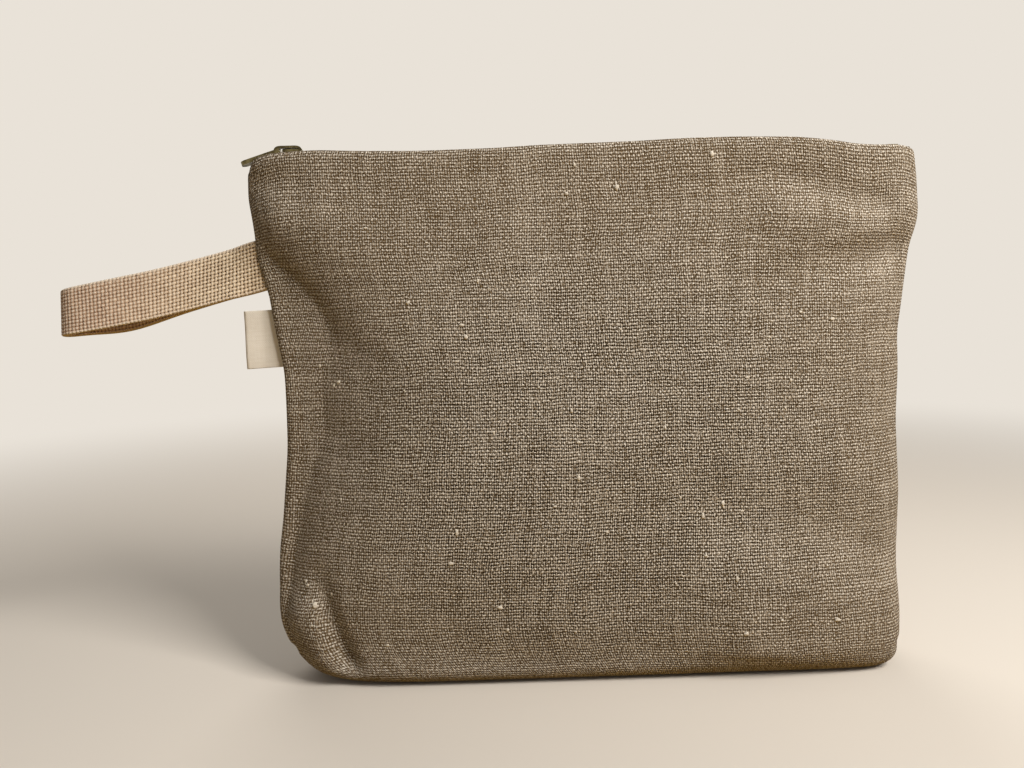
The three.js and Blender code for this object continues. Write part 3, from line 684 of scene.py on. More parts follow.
def level_rows():
    """Rows of a panel from the seam under the base, up the wall, over the top edge and down the hem.

    Each is (height, drawn in front to back, at the left end, at the right end, share of the base's depth).
    """
    base = (EDGE_ROUND, LEFT_END_ROUND, RIGHT_END_ROUND)
    rows = [(BASE_SEAM_LIFT, *base, BASE_SEAM_SHARE)]
    rows += [(0.0, *base, share) for share in np.linspace(BASE_START_SHARE, 1, BASE_ROWS)]
    wall = []
    for turn in np.radians(np.arange(11, 90, 11)):
        wall.append((EDGE_ROUND * (1 - math.cos(turn)), EDGE_ROUND * (1 - math.sin(turn))))
    crest = TOP - FOLD_ROUND
    for z in np.linspace(EDGE_ROUND, crest, WALL_ROWS):
        roll = max(1 - (crest - z) / TOP_ROLL_HEIGHT, 0)
        wall.append((z, TOP_ROLL * (1 - math.sqrt(1 - roll * roll))))
    for z, drawn in wall:
        rows.append((z, drawn, round_inset(z, LEFT_END_ROUND), round_inset(z, RIGHT_END_ROUND), 1.0))
    for turn in np.radians(np.arange(30, 181, 30)):
        drawn = FOLD_ROUND * (1 - math.cos(turn))
        rows.append((crest + FOLD_ROUND * math.sin(turn), TOP_ROLL + drawn, drawn, drawn, 1.0))
    drawn = 2 * FOLD_ROUND
    for z in np.linspace(crest - HEM_START, crest - HEM, HEM_ROWS):
        rows.append((z, TOP_ROLL + drawn, drawn, drawn, 1.0))
    return np.array(rows)


ROWS = level_rows()
CREST_ROW = int(np.argmax(ROWS[:, 0]))
UPRIGHT = ROWS[:, 4] == 1


def level_section(z, depth_in, left_in, right_in):
    """One level section, seam to seam, at even steps of its length: x, and y out from the middle."""
    share = np.sin(np.linspace(-np.pi / 2, np.pi / 2, SECTION_POINTS))
    left = soft_table(LEFT_SEAM, z, SEAM_SOFTEN) - left_in
    right = soft_table(RIGHT_SEAM, z, SEAM_SOFTEN) - right_in
    depth = soft_table(HALF_DEPTH, z, DEPTH_SOFTEN) - depth_in
    left_square = soft_table(LEFT_SQUARE, z, DEPTH_SOFTEN)
    right_square = soft_table(RIGHT_SQUARE, z, DEPTH_SOFTEN)
    square = np.where(share < 0, left_square, right_square)
    end = soft_table(END_SQUARE, z, DEPTH_SOFTEN)
    x = np.where(share < 0, left, right) * share
    y = depth * (1 - np.abs(share) ** square) ** (1 / end)
    run = length_along(np.stack([x, y], 1))
    even = np.linspace(0, run[-1], PANEL_COLUMNS)
    return np.interp(even, run, x), np.interp(even, run, y), run[-1]


def plain_panel(side, inset, end_inset):
    """The panel before folds, drawn in by a layer's depth, and the distance of each point from the seams."""
    grid = np.zeros((len(ROWS), PANEL_COLUMNS, 3))
    from_seam = np.zeros((len(ROWS), PANEL_COLUMNS))
    for row, (z, depth_in, left_in, right_in, share) in enumerate(ROWS):
        drawn = inset + end_inset
        x, y, length = level_section(z, depth_in + inset, left_in + drawn, right_in + drawn)
        grid[row, :, 0] = x
        grid[row, :, 1] = side * y * share
        grid[row, :, 2] = inset + z * (TOP - inset) / TOP
        step = np.linspace(0, length, PANEL_COLUMNS)
        from_seam[row] = np.minimum(step, length - step) + end_inset
    return grid, from_seam


def line_place(x, z, line):
    """Nearest place on a broken line: distance, how far to its left, and share of the line's length."""
    nearest = np.full(x.shape, np.inf)
    leftward = np.zeros(x.shape)
    share = np.zeros(x.shape)
    lengths = [math.dist(one, other) for one, other in zip(line, line[1:])]
    run = 0.0
    for (x0, z0), (x1, z1), length in zip(line, line[1:], lengths):
        dx, dz = (x1 - x0) / length, (z1 - z0) / length
        along = np.clip((x - x0) * dx + (z - z0) * dz, 0, length)
        away = np.hypot(x - x0 - along * dx, z - z0 - along * dz)
        closer = away < nearest
        nearest = np.where(closer, away, nearest)
        leftward = np.where(closer, dx * (z - z0) - dz * (x - x0), leftward)
        share = np.where(closer, (run + along) / sum(lengths), share)
        run += length
    return nearest, leftward, share


def fold_height(side, x, z):
    """How far the folds and waves of the cloth move its surface out."""
    height = np.zeros(x.shape)
    folds = FRONT_FOLDS if side == FRONT else BACK_FOLDS
    for line, first, last, width_left, width_right in folds:
        away, leftward, share = line_place(x, z, line)
        width = width_right + (width_left - width_right) * ease(*FOLD_CHANGE, leftward)
        height += (first + (last - first) * share) * np.exp(-(away / width) ** 2)
    for size, across, up, start in CLOTH_WAVES:
        height += size * np.sin(2 * np.pi * (x * across + z * up) + start + side)
    return height


def row_fade(fade, beyond):
    """A fade over heights of the wall. beyond is its value from the top edge to the end of the hem."""
    share = ease(*fade, ROWS[:, 0])
    share[CREST_ROW:] = beyond
    return share[:, None]


def cloth_moves(side, grid, from_seam):
    """What the folds, the uneven top edge and the dip under the pull do to every point of a panel."""
    x, y, z = np.moveaxis(grid, -1, 0)
    normal = grid_normals(grid) * -side
    on_wall = row_fade(FOLDS_ABOVE_BASE, 0) * (1 - row_fade(FOLDS_END_AT_TOP, 1))
    away = ease(*FOLDS_FROM_SEAM, from_seam) * on_wall
    height = np.maximum(fold_height(side, x, z), -FOLD_LIMIT * np.abs(y))
    height = np.where(height < 0, height * ease(*HOLLOW_FACING, np.abs(normal[..., 1])), height)
    moves = normal * (height * away)[..., None]
    edge_share = 1.0 if side == FRONT else BACK_EDGE_SHARE
    moves[..., 2] += row_fade(TOP_EDGE_RISE, 1) * edge_share * soft_table(TOP_EDGE, x, TOP_EDGE_SOFTEN)
    at_end = ease(*CORNER_DIP_LEFT, -x) * (1 - ease(*CORNER_DIP_DEPTH, np.abs(y)))
    moves[..., 2] -= row_fade(CORNER_DIP_RISE, 1) * CORNER_DIP * at_end
    ends = ease(*BOX_SEAM_FACING, np.abs(normal[..., 0])) * UPRIGHT[:, None]
    seam_height = BOX_SEAM_HEIGHT - BOX_SEAM_FALL * (y / BOX_SEAM_REACH) ** 2
    notch = NOTCH * (x < 0) * np.exp(-((np.abs(y) - NOTCH_PLACE) / NOTCH_WIDTH) ** 2)
    across_seam = np.exp(-((z - seam_height) / BOX_SEAM_WIDTH) ** 2)
    moves -= normal * (ends * (BOX_SEAM_GROOVE + notch) * across_seam)[..., None]
    return moves


def seam_lip(z):
    """Half the opening of the left side seam: spread where the strap and the label go in."""
    lip = SEAM_CLOSED
    for begins, full, narrows, closes, spread in SEAM_SLOTS:
        lip = lip + spread * (ease(begins, full, z) * (1 - ease(narrows, closes, z)))
    return lip


def seam_turn(edge, side, inwards):
    """The cloth turned in at a side seam, from its end out to the seam."""
    inward = np.array(SEAM_TURN_IN)
    turn = np.repeat(edge[:, None], len(inward), axis=1)
    turn[..., 0] += inwards * inward
    turn[..., 1] += side * inward * SEAM_TURN_SPREAD
    return turn


def panel_cloth(grid):
    """The cloth's own coordinates of a panel: across from seam to seam, and up its middle."""
    columns = grid.shape[1]
    across = np.linspace(-CLOTH_WIDTH / 2, CLOTH_WIDTH / 2, columns)
    return across, length_along(grid[:, columns // 2])


def linen_panel(side, place):
    """One outer panel with its half of the base. Gives its outer face and that face's normals."""
    grid, from_seam = plain_panel(side, 0.0, 0.0)
    ends = np.sign(grid[..., 0])
    groove = np.exp(-((from_seam / SEAM_GROOVE_WIDTH) ** 2))
    grid[..., 0] -= ends * SEAM_GROOVE * groove * UPRIGHT[:, None]
    lip = np.where(ends < 0, seam_lip(grid[..., 2]), SEAM_CLOSED)
    lip = lip * (1 - ease(*SEAM_LIP_FADE, from_seam)) + PANEL_CLEAR
    grid[..., 1] = side * np.maximum(np.abs(grid[..., 1]), lip)
    outer = grid + cloth_moves(side, grid, from_seam)
    left_turn = seam_turn(outer[:, 0], side, 1)
    right_turn = seam_turn(outer[:, -1], side, -1)
    outer = np.concatenate([left_turn, outer, right_turn[:, ::-1]], axis=1)
    normal = grid_normals(outer) * -side
    inner = outer - normal * CLOTH
    outer[..., 2] = np.maximum(outer[..., 2], 0.0)
    inner[..., 2] = np.maximum(inner[..., 2], INNER_FACE_LIFT)
    across, rise = panel_cloth(outer)
    piece = sheet_piece(f"linen_{place}", (outer, inner), across, rise, side == BACK, LINEN_CLOTH)
    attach(piece, "bag")
    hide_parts(f"outer_{place}_panel")
    flat = metres(CLOTH_WIDTH, CLOTH_HEIGHT)
    return outer, normal


def inner_layer(side, name, layer, node, material):
    """Interlining or lining: the panel drawn in under the linen, with the same folds."""
    keep = (np.arange(len(ROWS)) <= CREST_ROW) & (ROWS[:, 0] <= layer["top"])
    faces = []
    for inset in (layer["depth"], layer["depth"] + layer["thickness"]):
        grid, from_seam = plain_panel(side, inset, LAYER_END)
        leaning = layer["lean"] * ease(*LEAN_RISE, grid[..., 2])
        grid[..., 1] = side * np.maximum(np.abs(grid[..., 1]) - leaning, LAYER_CLEAR)
        faces.append((grid + cloth_moves(side, grid, from_seam))[keep][::2, ::2])
    across, rise = panel_cloth(faces[0])
    piece = sheet_piece(name, faces, across, rise, side == BACK, material)
    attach(piece, "bag")
    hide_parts(node)
    metres(*layer["flat"])


# Neps of the linen


def lump(long, wide, high):
    """A small tuft: a flattened ball of points and faces, lying in x and y."""
    rings, spokes = 5, 8
    points = [(0, 0, -high)]
    for ring in range(1, rings):
        tip = math.pi * ring / rings
        for spoke in range(spokes):
            turn = 2 * math.pi * spoke / spokes
            points.append((long * math.sin(tip) * math.cos(turn), wide * math.sin(tip) * math.sin(turn),
                           -high * math.cos(tip)))
    points.append((0, 0, high))
    faces = [(0, 1 + (s + 1) % spokes, 1 + s) for s in range(spokes)]
    for ring in range(rings - 2):
        low = 1 + ring * spokes
        for s in range(spokes):
            after = (s + 1) % spokes
            faces.append((low + s, low + after, low + spokes + after, low + spokes + s))
    last = 1 + (rings - 2) * spokes
    faces += [(last + s, last + (s + 1) % spokes, len(points) - 1) for s in range(spokes)]
    return np.array(points), faces


# Neps that stand out in the photo: x, z, size
SEEN_NEPS = (
    (-105.4, 31.9, 1.2), (-45.7, 131.4, 0.9), (11.6, 184.0, 0.9), (89.2, 134.0, 0.8), (-47.1, 135.8, 0.7),
    (-35.4, 31.4, 0.9), (55.0, 19.1, 0.9), (-50.6, 61.1, 0.8), (-53.6, 48.6, 0.8), (-6.8, 182.3, 0.8),
    (-6.4, 79.4, 0.8), (47.2, 68.2, 0.8), (-5.4, 92.4, 0.7), (40.1, 64.0, 0.8), (-40.4, 152.3, 0.7),
    (52.3, 39.9, 0.7), (-66.5, 144.6, 0.7), (-93.6, 116.1, 0.8), (-8.3, 103.7, 0.6), (46.1, 195.0, 0.9),
    (26.5, 96.6, 0.6), (-4.0, 192.2, 0.6), (-78.6, 9.3, 0.6), (68.2, 23.7, 0.6), (89.6, 22.4, 0.7),
    (77.0, 137.2, 0.6),
)
NEP_FIRST_ROW = 26  # of a panel, above the base's rounded edge
NEP_LAST_ROW = CREST_ROW - 4  # below the top edge


def linen_neps(side, place, outer, normal, draw):
    """The neps seen on the front and a scatter of smaller ones, pressed into the cloth."""
    spots = outer[NEP_FIRST_ROW:NEP_LAST_ROW].reshape(-1, 3)
    directions = normal[NEP_FIRST_ROW:NEP_LAST_ROW].reshape(-1, 3)
    wanted = list(SEEN_NEPS) if side == FRONT else []
    for _ in range(NEP_COUNT):
        wanted.append((draw.uniform(*NEP_ACROSS), draw.uniform(*NEP_UP), draw.uniform(*NEP_SIZE)))
    points, faces = [], []
    for x, z, size in wanted:
        at = np.argmin((spots[:, 0] - x) ** 2 + (spots[:, 2] - z) ** 2)
        out = Vector(directions[at])
        along = Vector((0, 0, 1)) if draw.uniform() < 0.5 else Vector((1, 0, 0))
        along = (along - out * along.dot(out)).normalized()
        basis = np.array([along, out.cross(along), out])
        shape, joined = lump(size * draw.uniform(*NEP_LONG), size * NEP_WIDE, size * NEP_HIGH)
        shape = shape * (1 + NEP_ROUGH * draw.standard_normal(shape.shape))
        faces += shifted(joined, sum(len(p) for p in points))
        points.append(spots[at] + shape @ basis + np.array(out) * size * NEP_LIFT)
    piece = new_piece(f"linen_neps_{place}", np.concatenate(points), faces, FLAX_NEPS)
    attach(piece, "bag")


# Strap and label


def folded_line(strip):
    """Middle line of a folded strip in plan, from one sewn end round the loop to the other.

    Gives its points as (out from the swing axis, y), and the length up to each.
    """
    bow, thickness = strip["bow"], strip["thickness"]
    leg = (LEG_GAP + thickness) / 2
    bend_at = strip["reach"] - bow - thickness / 2
    share = np.linspace(0, 1, 200)[:, None]
    corners = np.array([(0, leg), (bend_at / 3, leg), (bend_at / 2, bow), (bend_at, bow)])
    curve = ((1 - share) ** 3 * corners[0] + 3 * (1 - share) ** 2 * share * corners[1]
             + 3 * (1 - share) * share ** 2 * corners[2] + share ** 3 * corners[3])
    turn = np.linspace(np.pi / 2, 0, 60)[1:, None]
    bend = np.concatenate([bend_at + bow * np.cos(turn), bow * np.sin(turn)], axis=1)
    half = np.concatenate([[(-strip["tail"], leg)], curve, bend])
    half[:, 1] *= -1
    line = np.concatenate([half, (half * (1, -1))[-2::-1]])
    run = length_along(line)
    even = np.linspace(0, run[-1], int(run[-1] / strip["step"]) + 1)
    return np.stack([np.interp(even, run, line[:, k]) for k in (0, 1)], 1), even


def woven_relief(along, across, thread):
    """Height of a plain weave, from about 0 in the gaps to about 1 on the crowns."""
    a, b = along / thread, across / thread
    i, j = np.floor(a), np.floor(b)
    warp_round = 1 - ((a - i - 0.5) / THREAD_HALF) ** 2
    weft_round = 1 - ((b - j - 0.5) / THREAD_HALF) ** 2
    warp = THREAD_ROUND * warp_round + THREAD_RISE * np.cos(np.pi * (b - 0.5 + i))
    weft = THREAD_ROUND * weft_round - THREAD_RISE * np.cos(np.pi * (a - 0.5 + j))
    return np.clip(np.maximum(warp, weft), -0.3, 1.1)


def folded_strip(name, strip, lift, material):
    """A strip folded into a loop, with rounded edges and woven faces. Gives the piece and its length."""
    line, run = folded_line(strip)
    outward = right_of(line)
    half, edge, steps = strip["width"] / 2, strip["thickness"] / 2, strip["across_steps"]
    flat = np.linspace(edge - half, half - edge, steps)
    arc = np.radians(np.arange(-60, 61, 30))
    edge_width = half - edge + edge * np.cos(arc)
    width = np.concatenate([flat, edge_width, flat[::-1], -edge_width])
    high = np.concatenate([np.ones(steps), -np.sin(arc), -np.ones(steps), np.sin(arc)]) * edge
    face = np.concatenate([np.ones(steps), np.zeros(len(arc)), -np.ones(steps), np.zeros(len(arc))])
    woven = woven_relief(run[:, None], width[None, :] + half, STRAP_THREAD) - WOVEN_MEAN
    offset = high[None, :] + strip["relief"] * woven * face
    out = line[:, 0, None] + outward[:, 0, None] * offset
    y = line[:, 1, None] + outward[:, 1, None] * offset
    slope = math.radians(strip["slope"])
    z = strip["height"] - line[:, 0, None] * math.tan(slope) + width[None, :] / math.cos(slope)
    points = np.stack([strip["axis"] - out, y, z], -1) + lift(line, width)
    faces = tube_faces(*points.shape[:2])
    cloth = np.stack(np.broadcast_arrays(run[:, None], width[None, :] + half), -1).reshape(-1, 2)
    return new_piece(name, points.reshape(-1, 3), faces, material, cloth), run[-1]


def bend_ends(strip):
    """Where a strip starts and ends bending as it swings."""
    return [metres(strip["axis"] - out, 0, strip["height"]) for out in strip["bends"]]


def strap_lift(line, width):
    """The strap drops and leans back, its back leg sags near the far end, and it waves a little."""
    out, y = line[:, 0], line[:, 1]
    sag = -STRAP_BACK_SAG * np.exp(-((out - STRAP_SAG_PLACE) / STRAP_SAG_SPAN) ** 2) * ease(*STRAP_BACK, y)
    drop = soft_table(STRAP_DROP, out, STRAP_DROP_SOFTEN)
    wave = STRAP_WAVE * np.sin(out / STRAP_WAVE_SPAN + STRAP_WAVE_START) * ease(*STRAP_FREE, out)
    lean = np.radians(np.interp(out, STRAP_LEAN_PLACES, STRAP_LEAN))
    back = np.sin(lean)[:, None] * width[None, :] + wave[:, None]
    down = (np.cos(lean) - 1)[:, None] * width[None, :] + (sag - drop)[:, None]
    slope = math.tan(math.radians(STRAP["slope"]))
    square = -slope * ease(*STRAP_SQUARES, out)[:, None] * width[None, :]
    return np.stack([square, back, down], -1)


def label_lift(line, width):
    """The label curls forward towards its fold and is a little wavy along its height."""
    out = np.maximum(line[:, 0], 0)[:, None]
    curl = -LABEL_CURL * (out / LABEL["reach"]) ** 2
    wave = LABEL_WAVE * np.sin(width[None, :] / LABEL_WAVE_SPAN) * out / LABEL["reach"]
    still = np.zeros((len(line), len(width)))
    return np.stack([still, curl + wave, still], -1)


def wrist_strap():
    strap, length = folded_strip("webbing_strap", STRAP, strap_lift, WEBBING)
    start, end = bend_ends(STRAP)
    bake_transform(strap)
    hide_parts("wrist_strap", "wrist_strap_tail")
    flat = metres(STRAP["width"], round(length))


def side_label():
    label, length = folded_strip("folded_label", LABEL, label_lift, LABEL_TAPE)
    start, end = bend_ends(LABEL)
    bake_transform(label)
    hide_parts("side_label", "side_label_tail")
    flat = metres(LABEL["width"], round(length))


# Zip


def rounded_ring(x_half, z_half, square=4.0, spokes=12):
    """A rounded oblong in x and z."""
    turn = 2 * np.pi * (np.arange(spokes) + 0.5) / spokes
    x = np.sign(np.cos(turn)) * np.abs(np.cos(turn)) ** (2 / square) * x_half
    z = np.sign(np.sin(turn)) * np.abs(np.sin(turn)) ** (2 / square) * z_half
    return np.stack([x, z], 1)


# A tooth from its heel, gripped on the cord, to its tip: y, half width, half height
TOOTH = (
    (3.08, 0.30, 0.70), (2.95, 0.46, 0.98), (2.6, 0.50, 1.08), (2.0, 0.50, 1.06), (1.5, 0.44, 0.86),
    (0.8, 0.42, 0.80), (0.2, 0.47, 0.84), (-0.3, 0.46, 0.80), (-0.6, 0.36, 0.62), (-0.69, 0.20, 0.38),
)


def tooth_row(side, low, high):
    """The teeth of one row whose middles lie from low to high."""
    first = FIRST_TOOTH + (TOOTH_PITCH / 2 if side == BACK else 0)
    middles = np.arange(first, LAST_TOOTH, TOOTH_PITCH)
    rings = np.array([[(x, side * y, z) for x, z in rounded_ring(wide, tall)] for y, wide, tall in TOOTH])
    one = tube_faces(*rings.shape[:2], side == FRONT)
    tooth = rings.reshape(-1, 3)
    points, faces = [], []
    for x in middles[(middles >= low) & (middles < high)]:
        faces += shifted(one, len(points) * len(tooth))
        points.append(tooth + (x, 0, CHAIN_Z))
    return np.concatenate(points), faces


def tape_edge(side, low, high, stretch):
    """The woven edge of a tape with the cord that the teeth grip, and a thinner tongue where it overlaps."""
    upper = [(place, TAPE / 2) for place in TAPE_EDGE_PLACES]
    lower = [(place, -TAPE / 2) for place in TAPE_EDGE_PLACES[::-1]]
    turn = np.radians(np.arange(20, 341, 32))
    cord = [(CORD_MIDDLE + CORD_ROUND * np.cos(t), CORD_ROUND * np.sin(t)) for t in turn]
    outline = np.array(upper + cord + lower)
    start = low - (TAPE_TONGUE if stretch == "right" else 0)
    end = high + (TAPE_TONGUE if stretch == "left" else 0)
    stations = np.linspace(start, end, max(int((end - start) / TAPE_EDGE_STEP), 2))
    thin = np.where((stations < low) | (stations > high), TONGUE_THIN, 1.0)
    points = np.zeros((len(stations), len(outline), 3))
    points[..., 0] = stations[:, None]
    points[..., 1] = side * outline[None, :, 0]
    points[..., 2] = CHAIN_Z + thin[:, None] * outline[None, :, 1] - tape_end_drop(stations)[:, None]
    run = length_along(outline)
    cloth = np.stack(np.broadcast_arrays(stations[:, None], run[None, :]), -1).reshape(-1, 2)
    return points.reshape(-1, 3), tube_faces(*points.shape[:2], side == BACK), cloth


def tape_end_drop(x):
    """The ends of the tapes dip into the side seams."""
    return TAPE_END_DROP * ease(*TAPE_END_FADE, np.abs(x))


def tape_room(x):
    """Half the clear depth between the linen's hems at the top edge."""
    left = soft_table(LEFT_SEAM, TAPE_ROOM_HEIGHT, SEAM_SOFTEN)
    right = soft_table(RIGHT_SEAM, TAPE_ROOM_HEIGHT, SEAM_SOFTEN)
    reach = np.where(x < 0, left, right) - 2 * FOLD_ROUND
    depth = soft_table(HALF_DEPTH, TAPE_ROOM_HEIGHT, DEPTH_SOFTEN)
    square = soft_table(LEFT_SQUARE, TAPE_ROOM_HEIGHT, DEPTH_SOFTEN)
    outer = depth * np.sqrt(np.clip(1 - np.abs(x / reach) ** square, 0, 1))
    return np.maximum(outer - TOP_ROLL - 2 * FOLD_ROUND - TAPE_CLEAR, TAPE_LEAST)


def tape_hem(side, place):
    """The level flange beside the open edge, turned down between linen and lining."""
    bend_out, bend_up = TAPE_HEM_OUT - TAPE_HEM_BEND, TAPE / 2 - TAPE_HEM_BEND
    outside = [(out, TAPE / 2) for out in TAPE_HEM_PLACES]
    for turn in np.radians(np.arange(0, 91, 15)):
        outside.append((bend_out + TAPE_HEM_BEND * math.sin(turn), bend_up + TAPE_HEM_BEND * math.cos(turn)))
    outside += [(TAPE_HEM_OUT, z - CHAIN_Z) for z in np.linspace(*TAPE_HEM_FALL, TAPE_HEM_FALL_STEPS)]
    outside = np.array(outside)
    inside = outside + right_of(outside) * TAPE
    stations = np.linspace(-TAPE_END, TAPE_END, TAPE_HEM_STEPS)
    layers = []
    for outline in (outside, inside):
        grid = np.zeros((len(outline), len(stations), 3))
        room = tape_room(stations)[None, :] - (outside[:, 0] - outline[:, 0])[:, None]
        grid[..., 0] = stations[None, :]
        grid[..., 1] = side * np.minimum(outline[:, 0, None], room)
        grid[..., 2] = CHAIN_Z - TAPE_HEM_SINK + outline[:, 1, None] - tape_end_drop(stations)[None, :]
        layers.append(grid)
    name, rise = f"zip_tape_{place}_hem", length_along(outside)
    return sheet_piece(name, layers, stations, rise, side == FRONT, ZIP_TAPE)


def part_rows(piece, side, stretch, low, high):
    """Gives a stretch of a row its own mesh. How it would part and sink to its own side as the slider runs
    to its limit is worked out but not applied.
    """
    out, down = side * PARTING_OUT, -PARTING_DOWN
    if stretch == "open":
        reach = PARTING / PARTING_SQUEEZE
        anchor = (0, out * reach, CHAIN_Z + down * reach)
        axis, keep = (0, out, down), 1 - PARTING_SQUEEZE
    elif stretch == "throat":
        anchor = (0, side * (CORD_MIDDLE + CORD_ROUND), CHAIN_Z)
        axis, keep = (0, 1, 0), THROAT_KEEP
    elif stretch in ("left", "right"):
        squeeze = PARTING_SQUEEZE if stretch == "left" else MOUTH_SQUEEZE
        tilt = PARTING / squeeze / (high - low) * (1 if stretch == "left" else -1)
        anchor = (low if stretch == "left" else high, 0, CHAIN_Z)
        axis, keep = (-tilt, out, down), 1 - squeeze * (1 + tilt * tilt)
    else:
        return
    metres(*anchor)
    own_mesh(piece)


STRETCHES = (
    ("left", -TAPE_END, OPEN_LEFT),
    ("open", OPEN_LEFT, OPEN_RIGHT),
    ("right", OPEN_RIGHT, MOUTH_AT_LIMIT),
    ("throat", MOUTH_AT_LIMIT, CLOSED_FROM),
    ("closed", CLOSED_FROM, TAPE_END),
)


def zip_side(side, place):
    for stretch, low, high in STRETCHES:
        points, faces = tooth_row(side, low, high)
        teeth = new_piece(f"zip_teeth_{place}_{stretch}", points, faces, BRASS)
        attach(teeth, "bag")
        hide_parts(f"zip_teeth_{place}")
        part_rows(teeth, side, stretch, low, high)
        points, faces, cloth = tape_edge(side, low, high, stretch)
        edge = new_piece(f"zip_tape_{place}_{stretch}", points, faces, ZIP_TAPE, cloth)
        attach(edge, "bag")
        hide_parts(f"zip_tape_{place}")
        part_rows(edge, side, stretch, low, high)
    hem = tape_hem(side, place)
    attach(hem, "bag")
    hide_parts(f"zip_tape_{place}")
    flat = metres(TAPE_CUT, 2 * TAPE_END)


# The leaf's two flat faces and rounded edges: y, drawn in
LEAF_PROFILE = ((-0.95, 0.35), (-0.8, 0.1), (-0.5, 0.0), (0.5, 0.0), (0.8, 0.1), (0.95, 0.35))


def lock_leaf():
    """The spring leaf that fills the slider's bridge behind the pull."""
    rings = []
    for y, drawn in LEAF_PROFILE:
        ring = rounded_ring(LEAF_LENGTH / 2 - drawn, LEAF_HEIGHT / 2 - drawn, 5.0, 20)
        rings.append([(LEAF_MIDDLE[0] + x, y, LEAF_MIDDLE[1] + z) for x, z in ring])
    points = np.array(rings)
    faces = tube_faces(*points.shape[:2], True)
    leaf = new_piece("slider_lock_leaf", points.reshape(-1, 3), faces, BRASS)
    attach(leaf, "slider")


def kept_metal():
    """The solids of the slider, its pull and the stops stay, with softened edges."""
    for node in ("zip_slider_body", "zip_slider_bridge", "zip_pull_tab", "zip_bottom_stop",
                 "zip_top_stop_front", "zip_top_stop_back"):
        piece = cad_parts[node]
        piece.data.materials.clear()
        piece.data.materials.append(BRASS)
        bevel = piece.modifiers.new("soft_edges", "BEVEL")
        bevel.width = METAL_SOFTEN * MM
        bevel.segments = 2
        bevel.limit_method = "ANGLE"
        bevel.angle_limit = math.radians(METAL_EDGE)
        bevel.harden_normals = False


# Making


def make_pouch():
    draw = np.random.default_rng(SEED)
    for side, place in SIDES:
        outer, normal = linen_panel(side, place)
        linen_neps(side, place, outer, normal, draw)
        inner_layer(side, f"interlining_{place}_felt", INTERLINING, f"interlining_{place}",
                    FELTED_INTERLINING)
        inner_layer(side, f"lining_{place}_cotton", LINING, f"lining_{place}_panel",
                    LINING_COTTON)
        zip_side(side, place)
    kept_metal()
    lock_leaf()
    wrist_strap()
    side_label()


# Stage

BACKDROP = tint(233, 226, 216)
FLOOR_SHADE = tint(226, 218, 207)
FLOOR_BOUNCE = tint(152, 122, 52)  # what the pouch gets back from the floor
FLOOR_HALF = 15.0  # metres
FLOOR_LOW = -0.0004
FLOOR_FADE = (0.3, 0.9)  # metres from the middle
ROOM_COLOUR = (1.0, 0.97, 0.93, 1.0)
ROOM_STRENGTH = 0.18
LAMP_COLOUR = (1.0, 0.96, 0.91)
LAMP_AIM = (0, 0, 0.1)
# Lamps: name, place and size in metres, power in watts
LAMPS = (
    ("key", (0.41, -0.36, 0.60), 0.32, 6.0),
    ("fill", (-0.5, -0.9, 0.6), 0.8, 0.4),
    ("behind", (-0.2, 0.9, 0.8), 0.9, 5.0),
)


def camera():
    eye = bpy.data.objects.new("camera", bpy.data.cameras.new("camera"))
    bpy.context.scene.collection.objects.link(eye)
    eye.data.sensor_width = SENSOR
    eye.data.lens = FOCAL_PIXELS / IMAGE_WIDTH * SENSOR
    eye.data.clip_start = 0.01
    pitch, yaw, roll = (math.radians(a) for a in (CAMERA_PITCH, CAMERA_YAW, CAMERA_ROLL))
    ahead = Vector((math.sin(yaw) * math.cos(pitch), math.cos(yaw) * math.cos(pitch), -math.sin(pitch)))
    level = Vector((math.cos(yaw), -math.sin(yaw), 0))
    over = level.cross(ahead)
    right = level * math.cos(roll) + over * math.sin(roll)
    up = over * math.cos(roll) - level * math.sin(roll)
    placed = Matrix((right, up, -ahead)).transposed().to_4x4()
    placed.translation = Vector(CAMERA_PLACE) * MM
    eye.matrix_world = placed
    bpy.context.scene.camera = eye


def seen_rays(finish):
    """1 for rays from the camera and for those that mirror or see through, else 0."""
    path = finish.add("ShaderNodeLightPath")
    seen = finish.maths("MAXIMUM", path.output("Is Camera Ray"), path.output("Is Glossy Ray"))
    return finish.maths("MAXIMUM", seen, path.output("Is Transmission Ray"))


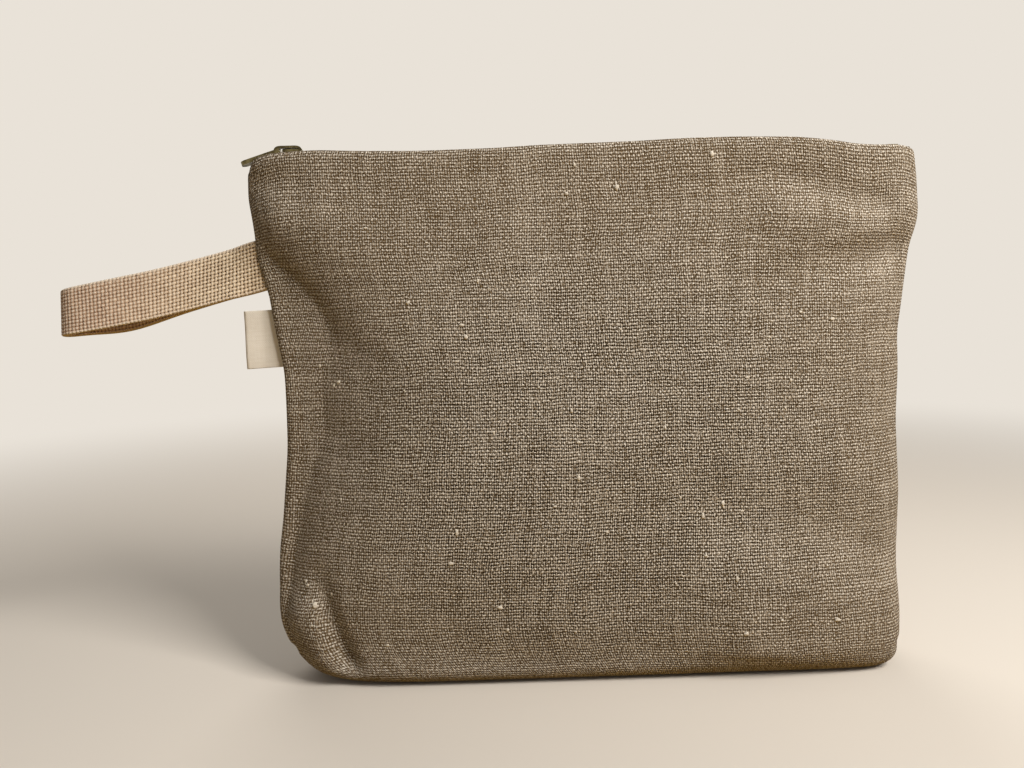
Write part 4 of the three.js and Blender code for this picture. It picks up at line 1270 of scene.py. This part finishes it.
def pale_floor():
    mesh = bpy.data.meshes.new("pale_floor")
    corners = [(x * FLOOR_HALF, y * FLOOR_HALF, FLOOR_LOW) for x, y in ((-1, -1), (1, -1), (1, 1), (-1, 1))]
    mesh.from_pydata(corners, [], [(0, 1, 2, 3)])
    floor = bpy.data.objects.new("pale_floor", mesh)
    bpy.context.scene.collection.objects.link(floor)
    material, finish = new_material("pale_floor")
    place = finish.add("ShaderNodeTexCoord").output("Object")
    far = finish.add("ShaderNodeVectorMath", {"operation": "LENGTH"}, {0: place}, "Value")
    seen = seen_rays(finish)
    fade = finish.between(far, *FLOOR_FADE) * seen
    shown = finish.mix(seen, FLOOR_BOUNCE, FLOOR_SHADE)
    matt = finish.add("ShaderNodeBsdfDiffuse", sockets={"Color": shown})
    glow = finish.add("ShaderNodeEmission", sockets={"Color": BACKDROP, "Strength": 1.0})
    shader = finish.add("ShaderNodeMixShader", sockets={0: fade, 1: matt, 2: glow})
    finish.add("ShaderNodeOutputMaterial", sockets={"Surface": shader})
    mesh.materials.append(material)


def soft_light():
    world = bpy.data.worlds.new("studio")
    bpy.context.scene.world = world
    world.use_nodes = True
    finish = Finish(world.node_tree)
    seen = seen_rays(finish)
    room = finish.add("ShaderNodeBackground", sockets={"Color": ROOM_COLOUR, "Strength": ROOM_STRENGTH})
    backdrop = finish.add("ShaderNodeBackground", sockets={"Color": BACKDROP, "Strength": 1.0})
    shader = finish.add("ShaderNodeMixShader", sockets={0: seen, 1: room, 2: backdrop})
    finish.add("ShaderNodeOutputWorld", sockets={"Surface": shader})
    for name, place, size, power in LAMPS:
        light = bpy.data.lights.new(name, "AREA")
        light.size = size
        light.energy = power
        light.color = LAMP_COLOUR
        lamp = bpy.data.objects.new(name, light)
        lamp.visible_camera = False
        lamp.location = place
        lamp.rotation_euler = (Vector(LAMP_AIM) - Vector(place)).to_track_quat("-Z", "Y").to_euler()
        bpy.context.scene.collection.objects.link(lamp)


camera()
make_pouch()
pale_floor()
soft_light()
bpy.context.scene.view_settings.view_transform = "Standard"
